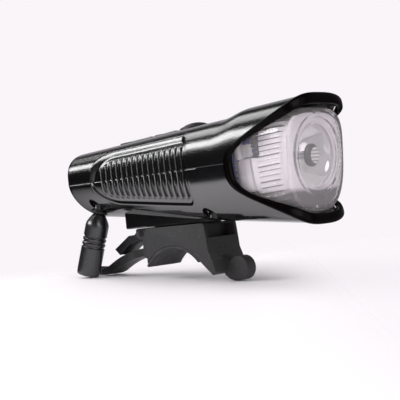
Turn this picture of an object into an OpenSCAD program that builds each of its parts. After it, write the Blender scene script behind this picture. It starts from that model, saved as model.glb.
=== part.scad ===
// Bike headlight on a quick-release handlebar bracket.
// Millimetres. X runs along the handlebar, the beam looks along -Y, +Z is up.
// The origin is the centre of the handlebar that the saddle sits on.

/* [Handlebar bracket] */
// Diameter of the handlebar that the rubber liner seats on
bar_d = 31.8; // [31:0.1:32.4]
// Thickness of the rubber liner
pad_t = 1.2; // [0.8:0.1:1.4]
// Width of the saddle along the handlebar
saddle_w = 19.4; // [18:0.2:22]
// Reach of the saddle behind the handlebar's centre
saddle_rear = 13.2; // [12.6:0.1:13.6]
// Reach of the front leg's face in front of the handlebar's centre
leg_front = 17.4; // [17.2:0.1:18.5]
// Forward sweep of the leg's lower end
leg_sweep = 3.3; // [2.5:0.1:4]
// Height of the front leg's lower end over the handlebar's centre
leg_low = 4.9; // [4:0.1:6]
// Width of the strap hook
hook_w = 5; // [4:0.5:8]
// Radius of the hook's round nose
hook_r = 4.6; // [3.5:0.1:5]
// Reach of the hook's nose centre in front of the handlebar's centre
hook_reach = 25.8; // [25:0.1:28]
// Depth of the pocket in the leg's face
pocket_d = 1.2; // [0.6:0.1:1.6]

/* [Rail and catch] */
// Depth of the foot's underside below the casing's datum
foot_drop = 17.3; // [16.6:0.1:17.6]
// Angle between the rail and the parting plane
rail_tilt = 3.6; // [2.6:0.2:4.6]
// Length of the foot under the casing
foot_l = 38.5; // [36:0.5:40]
// Reach of the foot behind the handlebar's centre
foot_rear = 22.5; // [22:0.5:23.5]
// Width of the foot
foot_w = 19.4; // [18:0.2:21]
// Thickness of the foot's lips under the rail's head
lip_t = 1.8; // [1.4:0.1:2]
// Half width of the rail's neck
neck_hw = 4.2; // [3.5:0.1:4.8]
// Half width of the rail's head
head_hw = 6.8; // [6:0.1:7.4]
// Height of the rail's head
head_h = 2.1; // [1.6:0.1:2.3]
// Gap between rail and slot on every side
slide_gap = 0.3; // [0.2:0.05:0.4]
// Gap between the foot and the saddle's top
top_gap = 0.4; // [0.3:0.1:0.8]
// Width of the release lever
lever_w = 9.2; // [8.4:0.2:10]
// Length of the release lever behind its trunnions
lever_l = 18.2; // [16:0.2:20]
// Thickness of the release lever
lever_t = 3.4; // [2.6:0.1:3.8]
// Droop of the lever's thumb end
lever_droop = 31; // [24:1:34]
// Diameter of the lever's trunnions
trunnion_d = 2.4; // [2:0.1:2.6]
// Height of the catch on the lever
catch_h = 1.1; // [0.8:0.1:1.1]
// Thickness of the saddle's rear ears
ear_t = 2.6; // [2:0.1:3]

/* [Strap] */
// Width of the rubber strap
strap_w = 9; // [8:0.2:9.4]
// Thickness of the strap between its edge beads
strap_t = 2.6; // [2:0.1:3]
// Height of the beads along the strap's edges
bead_h = 0.5; // [0.3:0.1:0.7]
// Radius of the strap's droop
strap_r = 46; // [42:0.5:50]
// Angle of the strap's droop
strap_arc = 27; // [24:1:28]
// Straight run of the strap after its droop
strap_run = 1.5; // [0.5:0.1:2]
// Radius of the curl at the strap's free end
curl_r = 9; // [8:0.5:12]
// Angle of the curl at the strap's free end
strap_curl = 31; // [26:1:34]
// Length of the strap's slotted end
tail_l = 9.5; // [9:0.5:12]
// Diameter of the bar that carries the strap
strap_bar_d = 3; // [2.6:0.1:3.2]
// Gap between the strap's eye and the saddle's arch
eye_gap = 1.08; // [0.9:0.02:1.4]
// Length of the slot in the strap's pull end
slot_l = 6; // [5.4:0.1:6.4]
// Radial running clearance of strap and lever
run_gap = 0.08; // [0.05:0.01:0.1]

/* [Casing] */
// Height of the casing's datum, on the parting plane, over the handlebar's centre
parting_h = 42.2; // [41.6:0.1:43]
// Reach of the casing's datum in front of the handlebar's centre
datum_y = 4.3; // [3.5:0.1:5]
// Nose-up angle of the parting plane against the beam
nose_up = 8; // [4:0.5:12]
// Room between the cell's rear end and the casing's rear face
rear_room = 12.7; // [11.5:0.1:17.5]
// Width of the casing at its rear face
rear_w = 37.6; // [36:0.2:40]
// Width of the casing at the head
head_w = 43; // [41:0.2:46]
// Length over which the casing widens towards the head
flare_l = 84; // [60:1:100]
// Height of the crown over the parting plane
crown_h = 17.8; // [17:0.1:18.6]
// Rise of the visor over the crown
visor_rise = 1.9; // [1:0.1:3]
// Depth of the belly below the parting plane at the rear face
belly_rear = 8.6; // [8.2:0.1:10]
// Depth of the belly below the parting plane at the lens ring
belly_front = 26; // [24:0.1:28]
// Rise of the parting line from the side window's point to the rear face
part_rise = 5; // [3:0.1:6]
// Wall thickness of both shells
wall = 1.8; // [1.4:0.1:2.2]
// Reach of the side window's rear point in front of the datum
apex_y = 37.5; // [35:0.5:40]
// Reach of the visor's edge in front of the datum
visor_y = 66.2; // [64:0.2:69]
// Reach of the lower lip in front of the datum
chin_y = 60.4; // [58:0.2:63]

/* [Grip] */
// Number of ribs on each flank
rib_count = 16; // [8:1:18]
// Spacing of the ribs
rib_pitch = 2.9; // [2.4:0.1:3]
// Width of one rib
rib_w = 1.5; // [1:0.1:1.8]
// Depth of the recessed grip panel
grip_depth = 0.9; // [0.6:0.1:1.1]
// Reach of the panel's front edge in front of the datum
grip_front = 19.5; // [17:0.5:21]
// Reach of the panel's rear point behind the datum
grip_rear = 32; // [30:0.5:34]
// Length of the panel's round rear end
grip_round = 13; // [8:0.5:16]
// Angle up the flank of the panel's top edge
grip_up = 39; // [30:1:44]
// Angle between the upper ribs' ends and the panel's top edge
rib_gap_up = 17; // [5:1:20]
// Angle down the flank of the panel's bottom edge
grip_down = 37; // [30:1:42]
// Angle between the lower ribs' ends and the panel's bottom edge
rib_gap_down = 8; // [3:0.5:12]

/* [Bezel and lens] */
// Width of the bezel along the casing
bezel_w = 2.8; // [2:0.1:3.4]
// Height of the bezel over the casing's skin
bezel_proud = 0.45; // [0.2:0.05:0.8]
// Gap between bezel, lens and casing
seat_gap = 0.3; // [0.2:0.05:0.4]
// Gap between the lens's flank and the casing's wall
lens_gap = 0.5; // [0.3:0.1:0.8]
// Height of the lens over the parting plane
lens_up = 15.6; // [15:0.1:17]
// Depth of the lens below the parting plane
lens_down = 22; // [21:0.1:23]
// Wall thickness of the lens
lens_t = 1.6; // [1.2:0.1:2]
// Radius of the lens's edge round its face
lens_r = 4.4; // [3:0.1:5.5]
// Depth of the lens's skirt at top and bottom
skirt = 7; // [6:0.5:9]
// Tuck of the lens's rear edge behind the casing's edge
lens_tuck = 2.4; // [1.5:0.1:3]
// Height of the flutes inside the lens's flanks
flute_h = 0.5; // [0.3:0.05:0.7]
// Number of flutes on each flank
flute_count = 17; // [9:1:21]
// Outer diameter of the lens ring
ring_d = 30; // [28:0.2:31]
// Width of the lens ring
ring_w = 2.2; // [1.4:0.1:3]
// Height of the lens ring over the lens's face
ring_h = 0.9; // [0.5:0.1:1.4]
// Width of the small tabs at the lens's top and bottom
lens_tab_w = 4.4; // [3:0.2:6]
// Height of those tabs over the lens's face
lens_tab_h = 0.5; // [0.3:0.1:0.8]
// Reach of the lens's face in front of the datum
ring_y = 63.5; // [62:0.1:65]
// Depth of the ring's centre below the parting plane
ring_z = 1.7; // [1:0.1:3]

/* [Light engine] */
// Diameter of the reflector's mouth
reflector_d = 25; // [22:0.2:26]
// Depth of the reflector
reflector_l = 12.5; // [10:0.1:14]
// Diameter of the reflector's throat
throat_d = 8; // [6.5:0.1:9]
// Wall thickness of the reflector
reflector_t = 1; // [0.8:0.1:1.4]
// Depth of the silvered liner behind the lens's face
liner_l = 16.5; // [14:0.5:18]
// Wall thickness of the liner
frame_t = 1.2; // [0.8:0.1:1.5]
// Gap between the liner and the lens's flutes
liner_gap = 0.5; // [0.3:0.1:0.8]
// Depth of the notch in the liner's flanks
notch_l = 4; // [2:0.5:6]
// Height of that notch
notch_h = 8; // [5:0.5:9]
// Side of the square emitter
emitter_w = 3.5; // [2:0.1:5]
// Diameter of the emitter's board
board_d = 16; // [14:0.2:18]
// Thickness of the emitter's board
board_t = 1.6; // [1:0.1:2]
// Length of the heat sink
sink_l = 4.5; // [3:0.1:5]

/* [Power and control] */
// Diameter of the battery cell
cell_d = 18.4; // [18:0.1:18.8]
// Length of the battery cell
cell_l = 66; // [60:0.5:68]
// Height of the cell's axis over the parting plane
cell_z = 1.2; // [0.5:0.1:2]
// Diameter of the mode button
button_d = 12.6; // [11:0.1:14]
// Height of the mode button's dome over the crown
button_h = 2.3; // [1.6:0.1:3]
// Travel of the mode button
button_travel = 0.8; // [0.5:0.1:1]
// Reach of the button's centre in front of the datum
button_y = 9.6; // [9:0.1:11]
// Width of the flat pads on the crown
pad_w = 8; // [6:0.2:10]
// Height of the flat pads over the crown
pad_h = 0.7; // [0.4:0.1:1.2]
// Thickness of the driver board
pcb_t = 1.2; // [0.8:0.1:1.6]
// Width of the driver board
pcb_w = 17; // [15:0.5:18]
// Length of the driver board
pcb_l = 54; // [48:1:56]
// Width of the cell's end tabs
tab_w = 6; // [4:0.5:8]
// Width of the foam rest under the cell
foam_w = 10; // [8:0.5:12]
// Length of the foam rest
foam_l = 20; // [16:0.5:22]

/* [Screws and lead] */
// Diameter of the casing screws
screw_d = 2.6; // [2.2:0.1:3]
// Diameter of the screw heads
screw_head_d = 4.6; // [4:0.1:5]
// Diameter of the counterbores in the belly
counterbore_d = 5.2; // [5:0.1:5.4]
// Diameter of the screw bosses
boss_d = 6.4; // [6:0.1:6.6]
// Distance of the front screws from the middle
screw_x_front = 13.4; // [13:0.1:14]
// Distance of the rear screws from the middle
screw_x_rear = 13.7; // [13.4:0.1:14]
// Diameter of the lead
lead_d = 3.8; // [3:0.1:4.2]
// Diameter of the round connector
plug_d = 9.4; // [8:0.1:10]
// Length of the connector from its shoulder cone to its face
plug_l = 25.4; // [22:0.1:26]

/* [Hidden] */
$fn = 48;

// Superellipse powers of the upper section, and of the lower one at the rear and at the head
up_pow = 2.9;
low_pow_rear = 1.75;
low_pow_head = 2.9;
lens_tab_in = 2.2;
lens_tab_t = 1.4;
lens_pow = 3.4;
lens_pow_low = 2.9;
// How early the window's edge sweeps forward above and below the parting plane
edge_pow_up = 1.2;
edge_pow_low = 2.2;
// Length over which the crown rises into the visor, and where it starts
visor_l = 12;
visor_start = -32;
// Rows of points round half a section and round the lens
half_n = 30;
ring_n = 60;
bow_n = 5;
eps = 0.01;
arch_r = bar_d / 2 + pad_t;
pad_play = 0.05;
foot_h = parting_h - foot_drop;
saddle_top = foot_h - top_gap;
foot_front = foot_rear - foot_l;
slot_top = foot_h + lip_t + head_h + 2 * slide_gap;
lever_y = 16.6;
ear_front = 11;
lever_z = saddle_top - 1.9;
// The strap's bar keeps its distance from the handlebar and stays clear below the lever
lever_clear = 7;
eye_wall = 1.4;
eye_r = strap_bar_d / 2 + eye_wall;
strap_bar_r = arch_r + eye_r + eye_gap;
strap_bar_z = min(0.7305 * strap_bar_r, lever_z - lever_clear);
strap_bar_y = sqrt(strap_bar_r * strap_bar_r - strap_bar_z * strap_bar_z);
slot_at = 1.5;
bead_w = 1.4;
lens_hw = head_w / 2 - wall - lens_gap;
eye_drop = 0.3;
eye_lead = 1.8;
strap_n = 8;
lens_rake = tan(nose_up);
screw_y_front = -23.2;
cell_front = -33.5;
rear_y = cell_front + cell_l + rear_room;
screw_back = 9.4;
screw_y_rear = rear_y - screw_back;
screw_seat_z = -4.2;
screw_l = 12;
screw_lift = 3.2;
exit_back = 6;
exit_at = [-9, rear_y - exit_back, -7.15];
lead_dir = [-0.10, 0.385, -1];
pcb_gap = 0.3;
pcb_z = cell_z + cell_d / 2 + pcb_gap;
pcb_front = 26;
tab_t = 0.3;
tab_h = 10;
foam_front = 14;
foam_h = 4.6;
foam_gap = 0.2;

// Smooth step from 0 to 1
function ease(v) = let (u = min(1, max(0, v))) u * u * (3 - 2 * u);
function half_w(y) = rear_w / 2 + (head_w - rear_w) / 2 * ease((rear_y - y) / flare_l);
function crown(y) = crown_h + visor_rise * ease((visor_start - y) / visor_l);
function belly(y) = belly_rear + (belly_front - belly_rear) * (rear_y - y) / (rear_y + ring_y);
function low_pow(y) = low_pow_rear + (low_pow_head - low_pow_rear) * ease((rear_y - y) / flare_l);
function super(v, p) = sign(v) * pow(abs(v), 2 / p);

// Height of the parting line at y
function seam(y) = part_rise * max(0, y + apex_y) / (rear_y + apex_y);
// Point of the casing's section at y; t runs from the flank at -X over crown or belly to +X
function skin(y, t, off, up) = let (p = up ? up_pow : low_pow(y), h = (up ? crown(y) : -belly(y)) - seam(y))
  [-(half_w(y) + off) * super(cos(t), p), y, seam(y) + (h + (up ? off : -off)) * super(sin(t), p)];
// Front edge of the shell at angle t: the V of the side window, the visor and the lower lip
function edge_y(t, up) = let (h = super(sin(t), up ? up_pow : low_pow_head))
  -apex_y - ((up ? visor_y : chin_y) - apex_y) * pow(ease(h), up ? edge_pow_up : edge_pow_low);
// Lens face leans with the nose, so that it stands upright on the beam
function face_y(z) = -ring_y - lens_rake * (z + ring_z);

grip_corner = 0.86;
// Angles that keep the ribs' feet off the parting plane, above and below it
rib_feet = [0.03, 0.4];
// Share of the panel's angle that is recessed at y: a round rear end and small front corners
function grip_share(y) = y > grip_rear || y < -grip_front ? 0
  : y > grip_rear - grip_round ? sqrt(1 - pow((y - grip_rear + grip_round) / grip_round, 2))
  : y < -grip_front + 2 ? grip_corner + (1 - grip_corner) / 2 * (y + grip_front) : 1;
function grip_angle(up) = up ? grip_up : grip_down;
// Angles round half a section with a double row of points on the panel's edge
in_n = 8;
out_n = half_n / 2 - in_n;
function flank_angles(y, up) = let (share = y < -grip_front ? grip_corner : max(0.12, grip_share(y)),
                                    g = grip_angle(up) * share)
  concat([for (i = [0:in_n - 1]) g * i / (in_n - 1)],
         [for (i = [0:out_n - 1]) g + 1.4 + (90 - g - 1.4) * i / out_n]);
function mirrored(a) = concat(a, [90], [for (i = [len(a) - 1:-1:0]) 180 - a[i]]);
function half_angles(y, up) = mirrored(flank_angles(y, up));
// Even angles round half a section, for the rows without a panel
even = mirrored([for (i = [0:half_n / 2 - 1]) 180 * i / half_n]);
// Depth of the panel's floor at point i of half a section
function sunk(y, i, n) = grip_share(y) > 0 && (i < in_n || i > n - 1 - in_n) ? grip_depth : 0;

// Stations along the shell: plane ones over the grip, then rows that sweep out to the window's edge
grip_rows = [for (i = [0:7]) grip_rear - grip_round * (1 - cos(12 + i * 11.14))];
rear_r = 1.2;
plane_y = concat([rear_y - rear_r, grip_rear + eps], grip_rows,
                 [-grip_front + 2, -grip_front + eps, -grip_front - 0.35]);
bare_y = [-apex_y + 11, -apex_y + 6];
plain_y = [rear_y, grip_rear - grip_round, 0, -grip_front, -apex_y + 11, -apex_y + 6];
function swept_y(t, up, s, ahead) = let (y0 = -apex_y + 6, y1 = edge_y(t, up) - ahead) y0 + (y1 - y0) * s;

function outer_row(y, up) = let (a = half_angles(y, up))
  [for (i = [0:len(a) - 1]) skin(y, a[i], -sunk(y, i, len(a)), up)];
function plain_row(y, up, off, angles) = [for (t = angles) skin(y, t, off, up)];
function swept_row(s, up, off, ahead) = [for (t = even) skin(swept_y(t, up, s, ahead), t, off, up)];

// Closed solid through rows of points that run from flank to flank; every cap is ruled across
module loft(rows, up) {
  n = len(rows[0]);
  m = len(rows);
  pts = [for (r = rows) each r];
  half = floor(n / 2);
  side = [for (j = [0:m - 2], i = [0:n - 2]) each [
    [j * n + i, j * n + i + 1, (j + 1) * n + i + 1], [j * n + i, (j + 1) * n + i + 1, (j + 1) * n + i]]];
  flat = [for (j = [0:m - 2]) each [
    [j * n, (j + 1) * n, (j + 1) * n + n - 1], [j * n, (j + 1) * n + n - 1, j * n + n - 1]]];
  function cap(b, turn) = [for (i = [0:half - 1]) each
    let (q = [b + i, b + i + 1, b + n - 2 - i, b + n - 1 - i])
    i == half - 1 ? [turn ? [q[0], q[3], q[1]] : [q[0], q[1], q[3]]]
    : turn ? [[q[0], q[2], q[1]], [q[0], q[3], q[2]]] : [[q[0], q[1], q[2]], [q[0], q[2], q[3]]]];
  faces = concat(side, flat, cap(0, true), cap((m - 1) * n, false));
  polyhedron(pts, up ? faces : [for (f = faces) [f[0], f[2], f[1]]], convexity = 6);
}

module casing_outer(up) {
  butt = half_angles(rear_y, up);
  loft(concat([for (a = [0, 45])
                plain_row(rear_y - rear_r * (1 - cos(a)), up, -rear_r * (1 - sin(a)), butt)],
              [for (y = plane_y) outer_row(y, up)],
              [for (y = bare_y) plain_row(y, up, 0, even)],
              [for (i = [1:bow_n]) swept_row(i / bow_n, up, 0, 0)]), up);
}

// Row whose two ends run on past the parting plane
function past_seam(row, up) = let (run = [0, 0, up ? -0.3 : 0.3])
  concat([row[0] + run], row, [row[len(row) - 1] + run]);

// Cavity of one shell; it runs out past the front edge and stops short of the rear face
module casing_inner(up) {
  rows = concat([for (y = plain_y) plain_row(min(y, rear_y - wall), up, -wall, even)],
                [for (i = [1:bow_n]) swept_row(i / bow_n, up, -wall, 3)]);
  loft([for (r = rows) past_seam(r, up)], up);
}

// Ribs of the grip: slices of the section that stand on the panel's floor
module ribs(up) {
  rib_start = -grip_front + 2.6;
  for (i = [0:rib_count - 1], s = [-1, 1]) {
    y = rib_start + rib_pitch * i;
    a = grip_angle(up) * grip_share(y + rib_w / 2) - (up ? rib_gap_up : rib_gap_down);
    foot = rib_feet[up ? 0 : 1];
    steps = [for (k = [0:6]) foot + (a - foot) * k / 6];
    crest = [for (k = [0:6]) skin(y, steps[k], k == 6 ? -grip_depth / 2 : -0.12, up)];
    root = [for (k = [6:-1:0]) skin(y, steps[k], -grip_depth - 0.4, up)];
    if (a > 8)
      translate([0, y + rib_w / 2, 0]) rotate([90, 0, 0]) linear_extrude(rib_w)
        polygon([for (q = concat(crest, root)) [s * q[0], q[2]]]);
  }
}

// Puts the children at the four casing screws
module at_screws() {
  for (s = [-1, 1]) {
    translate([s * screw_x_front, screw_y_front, 0]) children();
    translate([s * screw_x_rear, screw_y_rear, screw_lift]) children();
  }
}

// Frames: the handlebar's, the casing's on its parting plane, and the beam's at the lens ring
module on_bar() { rotate([rail_tilt - nose_up, 0, 0]) children(); }
module on_casing() { rotate([-nose_up, 0, 0]) translate([0, -datum_y, parting_h]) children(); }
module on_beam() { on_casing() translate([0, -ring_y, -ring_z]) rotate([nose_up, 0, 0]) children(); }
// Turns a solid that is drawn along +Z to look along +Y, from the lens into the casing
module along_beam() { rotate([-90, 0, 0]) children(); }
// Puts the children on the lead's axis, +Z running out of the casing
module on_lead() {
  turn = acos(lead_dir[2] / norm(lead_dir));
  translate(exit_at) rotate([0, turn, atan2(lead_dir[1], lead_dir[0])]) children();
}

button_hole_d = button_d + 0.6;
front_pad_end = 8.4;
pad_split = 1.9;
rear_pad_end = 27.3;
front_pad_y = [button_hole_d / 2 + 0.6 - button_y, front_pad_end];
rear_pad_y = [front_pad_end + pad_split, rear_pad_end];

module crown_pad(span) {
  translate([-pad_w / 2, span[0], crown_h - 0.5]) cube([pad_w, span[1] - span[0], 0.5 + pad_h]);
}

module crown_seat(span) {
  translate([-pad_w / 2 - seat_gap / 2, span[0] - seat_gap / 2, crown_h - 0.55])
    cube([pad_w + seat_gap, span[1] - span[0] + seat_gap, 3]);
}

module upper_casing() {
  color("#15151a") on_casing() difference() {
    union() {
      difference() {
        casing_outer(true);
        difference() {
          casing_inner(true);
          at_screws() cylinder(d = boss_d, h = crown_h + 4);
        }
      }
      ribs(true);
    }
    at_screws() translate([0, 0, -1]) cylinder(d = screw_d + 0.1, h = screw_l + screw_seat_z + 2);
    translate([0, -button_y, crown_h - 6]) cylinder(d = button_hole_d, h = 12);
    crown_seat(rear_pad_y);
    crown_seat(front_pad_y);
  }
}

// Foot block with its T-slot; the slot is open at the rear and closed at the front
module foot_block() {
  translate([-foot_w / 2, foot_front, foot_h]) cube([foot_w, foot_l, 8]);
}

module foot_slot() {
  neck = neck_hw + slide_gap;
  head = head_hw + slide_gap;
  translate([-neck, foot_front + 1, foot_h - 1]) cube([2 * neck, foot_l, lip_t + 2]);
  translate([-head, foot_front + 1, foot_h + lip_t]) cube([2 * head, foot_l, slot_top - foot_h - lip_t]);
}

module catch_notch() {
  translate([-lever_w / 2 - 0.4, foot_rear - 3.5, foot_h - 1]) cube([lever_w + 0.8, 3, 2]);
}

module lower_casing() {
  color("#121216") difference() {
    union() {
      difference() {
        union() {
          on_casing() casing_outer(false);
          on_bar() foot_block();
        }
        difference() {
          on_casing() casing_inner(false);
          on_casing() at_screws() translate([0, 0, -belly_front])
            cylinder(d = boss_d, h = belly_front + crown_h);
          on_bar() translate([-head_hw - 2.2, foot_front - 1.2, foot_h - 1])
            cube([2 * head_hw + 4.4, foot_l + 1.2, slot_top + wall - foot_h + 1]);
        }
      }
      on_casing() ribs(false);
    }
    on_bar() foot_slot();
    on_bar() catch_notch();
    on_casing() {
      at_screws() translate([0, 0, -belly_front]) cylinder(d = screw_d + 0.5, h = belly_front + crown_h);
      at_screws() translate([0, 0, screw_seat_z - belly_front])
        cylinder(d = counterbore_d, h = belly_front);
      translate(brass_at) cylinder(d = brass_d, h = 8, center = true);
      on_lead() translate([0, 0, -8]) cylinder(d = grommet_d + 0.2, h = 12);
      on_lead() translate([0, 0, flange_low]) cylinder(d = flange_d + 0.4, h = 8);
    }
  }
}

// Bezel section at angle t: outer skin of the casing, lens outline, both pushed forward by ahead
function lens_out(t, off) = let (up = sin(t) >= 0, p = up ? lens_pow : lens_pow_low,
                                 h = up ? lens_up : -lens_down)
  [-(lens_hw + off) * super(cos(t), p), (h + sign(h) * off) * super(abs(sin(t)), p)];
function bezel_pt(t, off, ahead) = let (up = sin(t) >= 0, a = abs(t > 180 ? 360 - t : t))
  skin(edge_y(a, up) - ahead, a, off, up);
function bezel_in(t, off, ahead) = let (q = lens_out(t, off), up = sin(t) >= 0, a = t > 180 ? 360 - t : t)
  [q[0], edge_y(a, up) - ahead, q[1]];

// Closed ring through loops of points, each loop one turn round the opening
module band(loops) {
  n = len(loops[0]);
  m = len(loops);
  polyhedron([for (l = loops) each l],
    [for (j = [0:m - 1], i = [0:n - 1]) each
      let (i1 = (i + 1) % n, j0 = j * n, j1 = ((j + 1) % m) * n)
      [[j0 + i, j0 + i1, j1 + i1], [j0 + i, j1 + i1, j1 + i]]], convexity = 8);
}

module bezel() {
  turns = [for (i = [0:ring_n - 1]) 360 * i / ring_n];
  near = seat_gap;
  far = seat_gap + bezel_w;
  color("#0d0d10") on_casing() band([
    [for (t = turns) bezel_pt(t, bezel_proud * 0.4, near)],
    [for (t = turns) bezel_pt(t, bezel_proud, near + bezel_w * 0.35)],
    [for (t = turns) bezel_pt(t, bezel_proud * 0.7, near + bezel_w * 0.75)],
    [for (t = turns) bezel_pt(t, -0.5, far)],
    [for (t = turns) bezel_in(t, seat_gap + 0.4, far)],
    [for (t = turns) bezel_in(t, seat_gap, far - 0.5)],
    [for (t = turns) bezel_in(t, seat_gap, near)],
    [for (t = turns) bezel_pt(t, -wall, near)]]);
}

// Lens: skirt, rounded edge and face as loops; the cavity has fluted flanks
function lens_rear(t, z) = let (up = sin(t) >= 0, a = t > 180 ? 360 - t : t)
  max(edge_y(a, up) + lens_tuck, face_y(z) + skirt);
function lens_loop(angles, off, y_off, inset) = [for (t = angles)
  let (x = lens_out(t, off - inset)[0], z = lens_out(t, off - 0.2 * inset)[1]) [x, face_y(z) + y_off, z]];
function lens_back(angles, off, behind, wave) = [for (i = [0:len(angles) - 1])
  let (t = angles[i], q = lens_out(t, off + wave * wave_at(i, len(angles), t)))
  [q[0], lens_rear(t, lens_out(t, 0)[1]) + behind, q[1]]];
function wave_at(i, n, t) = abs(cos(t)) > 0.42 && i % 2 == 1 ? 1 : 0;

// Closed solid from loops that each end in a flat face
module tub(loops) {
  n = len(loops[0]);
  m = len(loops);
  q = n / 4;
  function rungs(b, turn) = [for (k = [0:n / 2 - 2]) each
    let (l0 = b + (q - 1 - k + n) % n, l1 = b + (q - 2 - k + n) % n, r0 = b + q + k, r1 = b + q + k + 1)
    turn ? [[l0, r1, l1], [l0, r0, r1]] : [[l0, l1, r1], [l0, r1, r0]]];
  polyhedron([for (l = loops) each l],
    concat([for (j = [0:m - 2], i = [0:n - 1]) each
        let (a = j * n + i, b = j * n + (i + 1) % n, c = (j + 1) * n + (i + 1) % n, d = (j + 1) * n + i)
        [[a, b, c], [a, c, d]]],
      rungs(0, false), rungs((m - 1) * n, true)), convexity = 8);
}

module lens_shell() {
  turns = [for (i = [0:ring_n - 1]) 360 * (i + 0.5) / ring_n];
  fine_n = 4 * flute_count + 8;
  fine = [for (i = [0:fine_n - 1]) 360 * (i + 0.5) / fine_n];
  bend = [0, 30, 60, 90];
  difference() {
    tub(concat([lens_back(turns, 0, 0, 0)],
               [for (b = bend) lens_loop(turns, 0, lens_r * (1 - sin(b)), lens_r * (1 - cos(b)))]));
    tub([lens_back(fine, -lens_t, 7, -flute_h),
         [for (i = [0:fine_n - 1])
           let (t = fine[i], q = lens_out(t, -lens_t - flute_h * wave_at(i, fine_n, t)))
           [q[0], face_y(q[1]) + lens_r, q[1]]],
         lens_loop(fine, -lens_t - flute_h, lens_t, lens_r * 0.45)]);
  }
}

module front_lens() {
  color([0.9, 0.92, 0.95, 0.45]) {
    on_casing() lens_shell();
    on_beam() along_beam() rotate_extrude() translate([ring_d / 2, 0]) polygon([
      [-ring_w, lens_t / 2], [-ring_w, -ring_h * 0.55], [-ring_w * 0.7, -ring_h],
      [-ring_w * 0.25, -ring_h], [0, -ring_h * 0.4], [0, lens_t / 2]]);
    on_beam() for (z = [lens_up - lens_tab_in, lens_tab_in - lens_down])
      translate([-lens_tab_w / 2, -lens_tab_h, z + ring_z - lens_tab_t / 2])
        cube([lens_tab_w, lens_tab_h + lens_t / 2, lens_tab_t]);
  }
}

// Light engine, drawn along +Z from the lens's face into the casing
frame_front = lens_t + seat_gap;
frame_off = lens_t + flute_h + liner_gap;
mouth_z = frame_front + frame_t;

// Tub inside the lens's cavity: a flat rear rim, flanks, and a face behind the lens's face
module liner_tub(off, rear, front) {
  turns = [for (i = [0:ring_n - 1]) 360 * (i + 0.5) / ring_n];
  tub([[for (t = turns) let (q = lens_out(t, off)) [q[0], rear, q[1]]],
       lens_loop(turns, off, lens_r + front - frame_front, 0),
       lens_loop(turns, off, front, lens_r * 0.45)]);
}

// Silvered liner that carries the reflector; its flanks are cut back above the parting plane
module reflector_frame() {
  rear = liner_l - ring_y;
  color("#d9dbe0") difference() {
    on_casing() liner_tub(-frame_off, rear, frame_front);
    on_casing() liner_tub(-frame_off - frame_t, rear + 1, frame_front + frame_t);
    on_beam() along_beam() cylinder(d = reflector_d - 2 * reflector_t, h = mouth_z + 1);
    on_casing() translate([-head_w / 2, rear - notch_l, 0.5]) cube([head_w, notch_l + 1, notch_h]);
  }
}

// Radius of the reflector's bowl at depth z
function bowl_r(z) = let (r0 = throat_d / 2, r1 = reflector_d / 2 - reflector_t)
  r0 + (r1 - r0) * sqrt(1 - z / reflector_l);

module reflector() {
  steps = [for (i = [0:10]) reflector_l * i / 10];
  color("#e8eaee") on_beam() along_beam() translate([0, 0, mouth_z])
    rotate_extrude() polygon(concat([for (z = steps) [bowl_r(z), z]],
                                    [for (i = [10:-1:0]) [bowl_r(steps[i]) + reflector_t, steps[i]]]));
}

board_z = mouth_z + reflector_l + 0.2;

module led_board() {
  color("#c9ccd0") on_beam() along_beam() translate([0, 0, board_z]) cylinder(d = board_d, h = board_t);
}

module led_emitter() {
  color("#f2e27a") on_beam() along_beam() {
    translate([-emitter_w / 2, -emitter_w / 2, board_z - 0.9]) cube([emitter_w, emitter_w, 0.9]);
    translate([0, 0, board_z - 0.9]) intersection() {
      sphere(d = emitter_w * 0.86);
      translate([-emitter_w, -emitter_w, -emitter_w]) cube([2 * emitter_w, 2 * emitter_w, emitter_w]);
    }
  }
}

module heat_sink() {
  color("#a9adb3") on_beam() along_beam() translate([0, 0, board_z + board_t]) {
    cylinder(d = board_d - 2, h = sink_l);
    for (i = [0:2]) translate([0, 0, 0.4 + i * 1.5]) cylinder(d = board_d, h = 0.7);
  }
}

module battery_cell() {
  color("#2c4fb5") on_casing() translate([0, cell_front, cell_z]) rotate([-90, 0, 0]) {
    cylinder(d = cell_d, h = cell_l);
    translate([0, 0, cell_l]) cylinder(d = 6, h = 1);
  }
}

module battery_tabs() {
  color("#b8babd") on_casing() for (y = [cell_front - tab_t, cell_front + cell_l + 1])
    translate([-tab_w / 2, y, cell_z - tab_h / 2]) cube([tab_w, tab_t, tab_h]);
}

module battery_foam() {
  color("#55575c") difference() {
    on_bar() translate([-foam_w / 2, -foam_front, slot_top + wall]) cube([foam_w, foam_l, foam_h]);
    on_casing() translate([0, cell_front, cell_z]) rotate([-90, 0, 0])
      cylinder(d = cell_d + 2 * foam_gap, h = cell_l);
  }
}

module driver_board() {
  color("#1f6b3a") on_casing() translate([-pcb_w / 2, -pcb_front, pcb_z]) cube([pcb_w, pcb_l, pcb_t]);
}

module tact_switch() {
  color("#3b3d42") on_casing() translate([0, -button_y, pcb_z + pcb_t]) {
    translate([-3, -3, 0]) cube([6, 6, 1.4]);
    translate([0, 0, 1.4]) cylinder(d = 2.6, h = 0.5);
  }
}

// Domed button: a lens-shaped cap on a skirt, with a stem down to the switch
dome_r = (pow(button_d / 2, 2) + pow(button_h - 0.5, 2)) / (2 * (button_h - 0.5));

module mode_button() {
  stem_z = pcb_z + pcb_t + 1.9 + button_travel + 0.1;
  color("#2b2b30") on_casing() translate([0, -button_y, 0]) {
    translate([0, 0, crown_h - 1]) cylinder(d = button_d, h = 1.5);
    translate([0, 0, crown_h + 0.5]) intersection() {
      translate([0, 0, button_h - 0.5 - dome_r]) sphere(r = dome_r, $fn = 96);
      cylinder(d = button_d, h = button_h);
    }
    translate([0, 0, stem_z]) cylinder(d = 3.4, h = crown_h - stem_z - 0.5);
  }
}

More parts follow.
